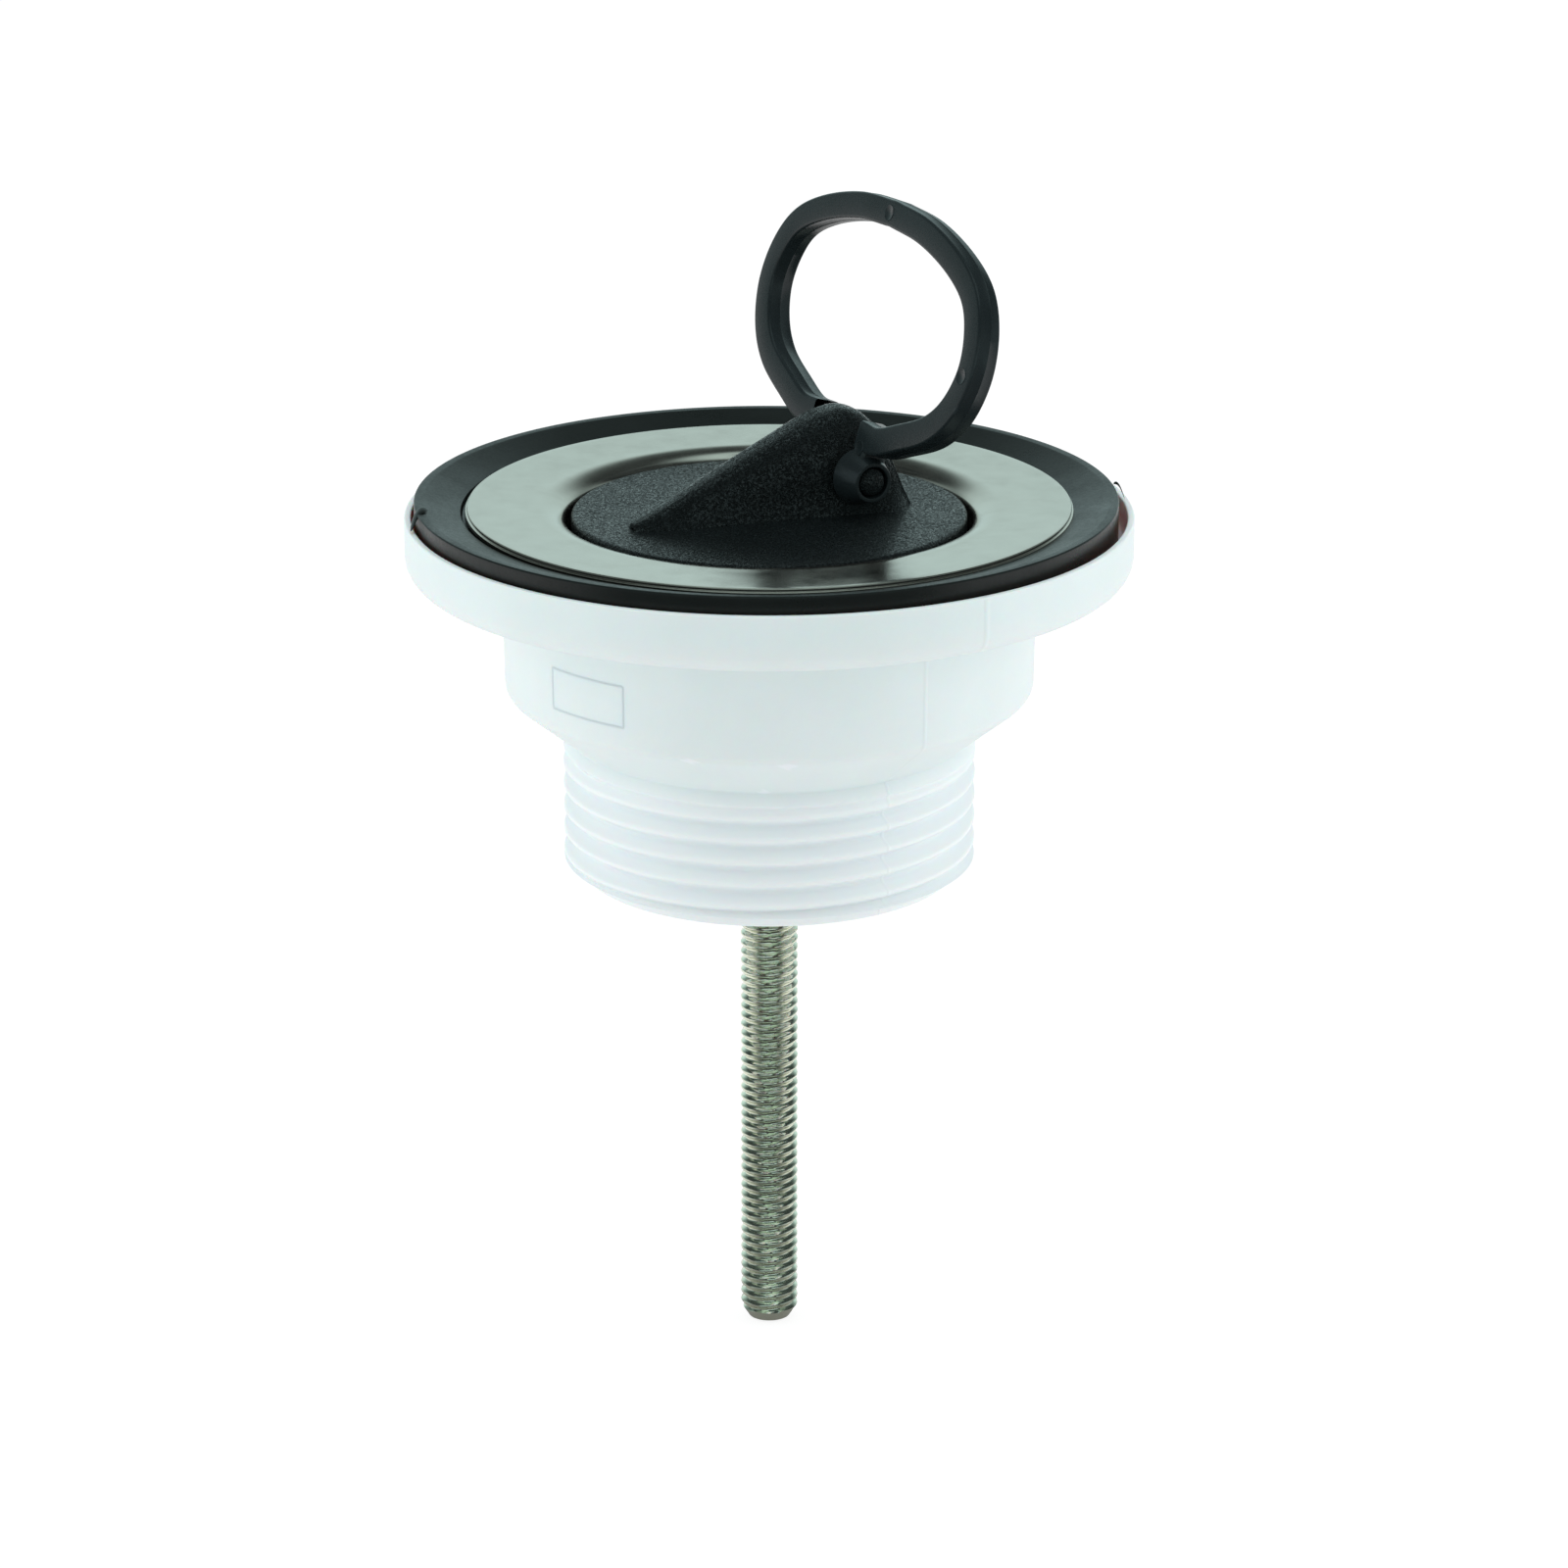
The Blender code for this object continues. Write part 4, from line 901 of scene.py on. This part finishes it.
def make_screw():
    """Threaded shank whose radius falls in a helix's groove, a chamfered point, and the slotted head."""
    heights = np.linspace(THREAD_TOP_Z, TIP_Z + 0.25, SCREW_ROWS)
    grid = turned(np.stack([np.full(SCREW_ROWS, SHANK_RADIUS), heights], axis=1), SCREW_COLUMNS)
    fade = np.clip((THREAD_TOP_Z - grid[..., 2]) / SCREW_END_HEIGHT, 0, 1)
    grid = push_out(grid, -SCREW_THREAD_DEPTH * thread_groove(grid, SCREW_CREST_Z, SCREW_PITCH) * fade)
    point = np.clip((grid[..., 2] - TIP_Z) / SCREW_END_HEIGHT, 0, 1)
    radius = np.hypot(grid[..., 0], grid[..., 1])
    grid = push_out(grid, np.minimum(SHANK_RADIUS - POINT_NARROWING * (1 - point), radius) - radius)
    end = turned(np.array(POINT_END) + [0, TIP_Z], SCREW_COLUMNS)
    neck = turned(np.array([(HEAD_RADIUS, HEAD_PLANE), (SHANK_RADIUS, HEAD_PLANE - SEAT_DEPTH),
                            (SHANK_RADIUS, THREAD_TOP_Z)]), SCREW_COLUMNS)
    patches = [(neck, True), (np.concatenate([grid, end]), True), (screw_head(), False)]
    new_piece("screw_m6", patches, "screw", "clamp_screw", "stainless_screw")


# Plug and seal


def fin_surface():
    """The handle: smooth rows of sections, each a wall that leans in and closes in a rounded ridge over a flared
    foot, pressed flat round the pins and rounded off at the heel."""
    scale = np.array([FIN_LENGTH, FIN_LENGTH, FIN_HALF_WIDTH, FIN_HALF_WIDTH, FIN_HEIGHT])
    rows = smooth_rows(np.array(FIN_ROWS) * scale, 12)
    foot, ridge, foot_half, wall_half, height = (np.maximum(column, 0)[:, None] for column in rows.T)
    levels = np.sin(np.linspace(0, math.pi / 2, FIN_LEVELS))[None]
    heights = levels * height
    wall = wall_half * (1 - FIN_DRAFT * levels) * (1 - levels ** FIN_CREST_POWER) ** (1 / FIN_CREST_POWER)
    half = wall + (foot_half - wall_half) * np.clip(1 - heights / FIN_FLARE_HEIGHT, 0, None) ** 2
    along = foot + (ridge - foot) * levels - FIN_TOE
    away = np.hypot(along - PIN_ALONG, heights + PLUG_TOP - PIN_Z)
    press = np.clip((SEAT_RADIUS + SEAT_EDGE / 2 - away) / SEAT_EDGE, 0, 1)
    half = half + (np.minimum(half, SEAT_HALF_WIDTH) - half) * press
    side = points_at(along, half, heights + PLUG_TOP)
    side = np.concatenate([side[:, :1] - np.array([0, 0, FIN_SINK]), side], axis=1)
    closing = np.linspace(0, 1, HEEL_ROWS)[:, None]
    heel = np.repeat(side[-1:], HEEL_ROWS, axis=0)
    heel[..., 0] += HEEL_REACH * closing
    heel[..., 1] *= (1 - closing ** HEEL_POWER) ** (1 / HEEL_POWER)
    side = np.concatenate([side, heel[1:]])
    other = side[:, -2::-1] * np.array([1, -1, 1])
    return np.concatenate([side, other], axis=1)


def pin_surface(side):
    """One pin: a short bar from inside the fin, with a domed end just proud of the eyelet's rim."""
    dome = np.radians(np.linspace(0, 90, 9))
    profile = np.concatenate([
        [(PIN_RADIUS, PIN_ROOT)],
        np.stack([PIN_RADIUS * np.cos(dome), PIN_REACH - PIN_DOME * (1 - np.sin(dome))], axis=1)])
    return along_pin(turned(profile, PIN_COLUMNS), side) + np.array([PIN_ALONG, 0, PIN_Z])


def make_plug():
    """Disc, skirt and hollow turned from one profile, with the handle and its pins."""
    disc_foot = PLUG_TOP - DISC_THICKNESS
    foot_top = SEAL_LOW[2] - FIT
    foot_low = foot_top - SKIRT_FOOT_HEIGHT
    profile = rounded_profile([
        (ON_AXIS, PLUG_TOP, 0), (DISC_RADIUS, PLUG_TOP, DISC_ROUND),
        (DISC_RADIUS, disc_foot, 0.15), (SKIRT_RADIUS, disc_foot, 0.1),
        (SKIRT_RADIUS, foot_top, 0.1), (SKIRT_RADIUS + SKIRT_FOOT_REACH, foot_top, 0.2),
        (SKIRT_RADIUS + SKIRT_FOOT_REACH, foot_low, 0.3), (SKIRT_BORE, foot_low, 0.2),
        (SKIRT_BORE, disc_foot, 0.5), (ON_AXIS, disc_foot, 0)])
    patches = [(turned(close_up(profile, 0.8), PLUG_COLUMNS), True), (fin_surface(), False)]
    patches += [(pin_surface(side), True) for side in (-1, 1)]
    patches = [(on_plug(grid), wrap) for grid, wrap in patches]
    new_piece("plug_moulding", patches, "plug", "plug", "black_plastic")


def make_seal():
    """Soft ring in the plug's groove, with a lip out to the dish's wall."""
    bore = SKIRT_RADIUS + FIT
    top, foot = SEAL_HIGH[2], SEAL_LOW[2]
    lip_z = top - SEAL_LIP_DEPTH
    middle = (top + foot) / 2
    profile = rounded_profile([
        (bore, middle, 0), (bore, top, 0.15), (bore + SEAL_WALL, top, 0.3), (dish_wall(lip_z) - FIT, lip_z, 0.25),
        (bore + SEAL_WALL, foot, 0.3), (bore, foot, 0.15), (bore, middle, 0)])
    grid = turned(close_up(profile, 0.4), SEAL_COLUMNS)
    new_piece("seal_ring", [(grid, True)], "seal", "plug_seal", "seal_rubber")


# Pull ring


def ring_path():
    """Middle of the band and its width as rows (across, up, width), from one bar's end round to the other's."""
    reach = np.array([RING_REACH, RING_RISE, RING_BAND])
    bar = [(across, RING_BAR_HEIGHT, RING_BAR_WIDTH * RING_BAND) for across in (EYELET_OUTER, EYELET_INNER)]
    half = smooth_rows(np.concatenate([np.array(RING_ROWS) * reach, bar]), 14)
    return np.concatenate([half[:0:-1] * np.array([-1, 1, 1]), half])


def band_section(width):
    """A rounded rectangle across the band for each width, with the mould's seam proud half way through."""
    corner = np.radians(np.linspace(0, 90, 6))
    out, deep, whole = np.cos(corner), np.sin(corner), np.ones(6)
    # Two corners and a seam, as shares of the flat and the round, across and deep. The far side mirrors them.
    points = np.concatenate([
        np.stack([whole, out, whole, deep], axis=1),
        np.stack([-whole, -out[::-1], whole, deep[::-1]], axis=1),
        [(-1, -1, 0, RING_SEAM_HALF), (-1, -RING_SEAM_TOP, 0, 0), (-1, -1, 0, -RING_SEAM_HALF)]])
    flat_out, round_out, flat_deep, round_deep = np.concatenate([points, -points]).T
    across = flat_out * (width[:, None] / 2 - RING_ROUND) + round_out * RING_ROUND
    depth = flat_deep * (RING_DEPTH / 2 - RING_ROUND) + round_deep * RING_ROUND
    return across, np.broadcast_to(depth, across.shape)


def ring_band():
    """The loop: the band's section carried along its path, its back face leaning forward above the sides. Its
    first end is closed to its middle, and its last end is open."""
    path = ring_path()
    direction = np.gradient(path[:, :2], axis=0)
    direction /= np.linalg.norm(direction, axis=1)[:, None]
    normal = np.stack([-direction[:, 1], direction[:, 0]], axis=1)
    across, depth = band_section(path[:, 2])
    flat = path[:, None, :2] + across[..., None] * normal[:, None]
    grid = points_at(depth, flat[..., 0], flat[..., 1])
    lean = RING_LEAN * np.clip(grid[..., 2] - RING_LEAN_START, 0, None)
    grid[..., 0] -= np.where(depth > 0, lean * depth / (RING_DEPTH / 2), 0)
    end = np.repeat(grid[:1].mean(axis=1, keepdims=True), grid.shape[1], axis=1)
    return np.concatenate([end, grid])


def eyelet_surface(side):
    """One eyelet: a cone that narrows outwards, with the pin's hole through it."""
    middle = (EYELET_INNER + EYELET_OUTER) / 2
    profile = rounded_profile([
        (EYELET_HOLE, middle, 0), (EYELET_HOLE, EYELET_INNER, 0.1), (EYELET_RADIUS, EYELET_INNER, 0.2),
        (EYELET_TIP_RADIUS, EYELET_OUTER, 0.12), (EYELET_HOLE, EYELET_OUTER, 0.1), (EYELET_HOLE, middle, 0)])
    return along_pin(turned(profile, EYELET_COLUMNS), side)


def eyelet_web(side):
    """The short web from eyelet to bar: a rounded rectangle carried upwards, a little wider at both ends."""
    share = np.linspace(0, 1, WEB_ROWS)[:, None]
    foot = PIN_RADIUS + WEB_SINK
    height = foot + (RING_BAR_HEIGHT - foot) * share
    spread = 1 + WEB_FLARE * (2 * share - 1) ** 4
    squared, raised = squared_round(WEB_COLUMNS, WEB_SQUARENESS)
    deep = squared * (RING_DEPTH / 2 - WEB_INSET)
    wide = raised * WEB_WIDTH / 2 * spread
    middle = side * (EYELET_INNER + WEB_WIDTH / 2)
    return points_at(deep, wide + middle, height)


def ring_mark(across, up, radius):
    """A round mark on the ring's front face: a flat middle inside a low, narrow rim, turned about the way out."""
    profile = np.concatenate([[(ON_AXIS, MARK_MIDDLE)], np.array(MARK_RIM) + [radius, 0]])
    disc = turned(profile * np.array([1, MARK_RISE]), MARK_COLUMNS)
    return points_at(-RING_DEPTH / 2 - disc[..., 2], across + disc[..., 0], up + disc[..., 1])


def make_ring():
    """The loop with its marks, eyelets and their webs, tilted on the plug's pins."""
    patches = [(ring_band(), True)]
    patches += [(ring_mark(*mark), True) for mark in RING_MARKS]
    patches += [(surface(side), True) for surface in (eyelet_surface, eyelet_web) for side in (-1, 1)]
    patches = [(on_ring(grid), wrap) for grid, wrap in patches]
    new_piece("ring_loop", patches, "ring", "pull_ring", "black_loop_plastic")


# Studio

CAMERA_PLACE = (0.0, -534.0, 150.9)
CAMERA_PITCH = 71.3
CAMERA_LENS = 126.87
CAMERA_SENSOR = 36
CAMERA_SHIFT = 15 / 1600
CAMERA_CLIP = (0.01, 50)
# Lamps: name, place, watts, side
SOFTBOXES = (
    ("left_softbox", (-700, 0, 200), 1.5, 600),
    ("right_softbox", (700, 0, 200), 1.5, 600),
    ("top_softbox", (0, 250, 800), 1.6, 700),
)
LIGHT_AIM = (0, 0, -20.0)
# The tent's strength as light, and the way forward (Y) over which it changes
AMBIENT = 0.72
FRONT_SHADE = 0.98
LIT_BAND = (-0.75, 0.05)
# The tent as gloss shows it: strengths, and the ways forward (Y) or up (Z) over which they change
BACK_MIRRORED = 0.84
SIDE_MIRRORED = 0.30
FRONT_MIRRORED = 0.45
TOP_MIRRORED = 0.16
ZENITH_MIRRORED = 0.75
BACK_BAND = (0.62, 0.92)
FRONT_BAND = (-0.72, -0.90)
TOP_BAND = (0.33, 0.58)
ZENITH_BAND = (0.86, 0.97)
WHITE = (1, 1, 1, 1)
LIGHT_TINT = (0.97, 1.0, 1.0, 1)
GLOSS_TINT = (0.75, 1.0, 1.0, 1)
# Floor, and where gloss sees it dark: how the line falls away aside, and the metres over which it fades
FLOOR_REACH = 6000.0
FLOOR_POINTS = 3
FLOOR_GAP = 0.05
FLOOR_GLOW = 1.12
FLOOR_LIGHT = 0.98
FLOOR_GLOW_SHARE = 0.78
FLOOR_PAPER = (0.86, 0.87, 0.87, 1)
FLOOR_DARK = (0.06, 0.06, 0.06, 1)
FLOOR_SPREAD = 0.7
FLOOR_BAND = (-0.03, 0.07)


def smooth_ramp(tree, value, band, low, high):
    """A value carried softly across a band from one number to another."""
    return ramp(tree, value, *band, low, high, interpolation_type="SMOOTHSTEP")


def mix_shaders(tree, share, first, second):
    """A shader that goes from the first to the second by a share."""
    return add_node(tree, "ShaderNodeMixShader", {0: share, 1: first, 2: second}).outputs[0]


def make_floor():
    """A large flat floor at the screw's point, white to the camera with soft shadows. Gloss sees it dark towards
    the viewer."""
    side = np.linspace(-FLOOR_REACH, FLOOR_REACH, FLOOR_POINTS)
    x, y = np.meshgrid(side, side)
    grid = points_at(x, y, TIP_Z - FLOOR_GAP)
    faces = grid_faces(FLOOR_POINTS, FLOOR_POINTS, False, 0)[:, ::-1]
    mesh = bpy.data.meshes.new("studio_floor")
    mesh.from_pydata((grid.reshape(-1, 3) * MM).tolist(), [], faces.tolist())
    material = bpy.data.materials.new("floor_paper")
    material.use_nodes = True
    tree = material.node_tree
    tree.nodes.clear()
    path = add_node(tree, "ShaderNodeLightPath").outputs
    strength = ramp(tree, path["Is Camera Ray"], 0.0, 1.0, FLOOR_LIGHT, FLOOR_GLOW)
    glow = add_node(tree, "ShaderNodeEmission", {"Color": WHITE, "Strength": strength})
    paper = add_node(tree, "ShaderNodeBsdfDiffuse", {"Color": FLOOR_PAPER})
    dark = add_node(tree, "ShaderNodeBsdfDiffuse", {"Color": FLOOR_DARK})
    bright = mix_shaders(tree, FLOOR_GLOW_SHARE, paper.outputs[0], glow.outputs[0])
    parts = place_parts(tree)
    away = maths(tree, "MULTIPLY_ADD", maths(tree, "ABSOLUTE", parts["X"]), FLOOR_SPREAD, parts["Y"])
    hidden = maths(tree, "MULTIPLY", smooth_ramp(tree, away, FLOOR_BAND, 1.0, 0.0), path["Is Glossy Ray"])
    add_node(tree, "ShaderNodeOutputMaterial", {"Surface": mix_shaders(tree, hidden, bright, dark.outputs[0])})
    mesh.materials.append(material)
    floor = in_scene("studio_floor", mesh)


def sky(tree, colour, strength):
    """An even glow all round."""
    return add_node(tree, "ShaderNodeBackground", {"Color": colour, "Strength": strength}).outputs[0]


def make_world():
    """A white tent that is open to a darker room on the viewer's side. Gloss sees a bright wall behind, dimmer
    sides and front, little above the wall and a bright spot overhead. The camera itself sees plain white."""
    world = bpy.data.worlds.new("light_tent")
    bpy.context.scene.world = world
    world.use_nodes = True
    tree = world.node_tree
    tree.nodes.clear()
    way = place_parts(tree, "Generated")
    lit = smooth_ramp(tree, way["Y"], LIT_BAND, FRONT_SHADE * AMBIENT, AMBIENT)
    behind = smooth_ramp(tree, way["Y"], BACK_BAND, SIDE_MIRRORED, BACK_MIRRORED)
    ahead = smooth_ramp(tree, way["Y"], FRONT_BAND, 0.0, FRONT_MIRRORED)
    below_top = smooth_ramp(tree, way["Z"], TOP_BAND, 1.0, TOP_MIRRORED)
    zenith = smooth_ramp(tree, way["Z"], ZENITH_BAND, 0.0, ZENITH_MIRRORED)
    wall = maths(tree, "MULTIPLY", maths(tree, "ADD", behind, ahead), below_top)
    light = sky(tree, LIGHT_TINT, lit)
    gloss = sky(tree, GLOSS_TINT, maths(tree, "ADD", wall, zenith))
    path = add_node(tree, "ShaderNodeLightPath").outputs
    lighting = mix_shaders(tree, path["Is Glossy Ray"], light, gloss)
    seen = maths(tree, "MAXIMUM", path["Is Camera Ray"], path["Is Transmission Ray"])
    add_node(tree, "ShaderNodeOutputWorld", {"Surface": mix_shaders(tree, seen, lighting, sky(tree, WHITE, 1.0))})


def add_softbox(name, place, watts, size):
    """A square soft lamp that faces the waste and stays out of its gloss."""
    lamp = bpy.data.lights.new(name, "AREA")
    lamp.energy = watts
    lamp.size = size * MM
    thing = in_scene(name, lamp)
    thing.visible_glossy = False
    thing.location = [value * MM for value in place]
    aim = np.array(LIGHT_AIM) - np.array(place)
    aim = aim / np.linalg.norm(aim)
    thing.rotation_euler = (math.acos(-aim[2]), 0, math.atan2(aim[0], -aim[1]) + math.pi)


def make_camera():
    """The photograph's camera: a long lens that looks down a little."""
    data = bpy.data.cameras.new("photo_camera")
    data.lens = CAMERA_LENS
    data.sensor_width = CAMERA_SENSOR
    data.shift_x = CAMERA_SHIFT
    data.clip_start, data.clip_end = CAMERA_CLIP
    camera = in_scene("photo_camera", data)
    camera.location = [value * MM for value in CAMERA_PLACE]
    camera.rotation_euler = (math.radians(CAMERA_PITCH), 0, 0)
    bpy.context.scene.camera = camera


def main():
    """Makes every piece, then the floor, the world, the lamps and the camera."""
    for make in (make_body, make_nut, make_gasket, make_flange, make_screw, make_plug, make_seal, make_ring,
                 make_floor, make_world):
        make()
    for softbox in SOFTBOXES:
        add_softbox(*softbox)
    make_camera()
    bpy.context.scene.view_settings.view_transform = "Standard"


main()
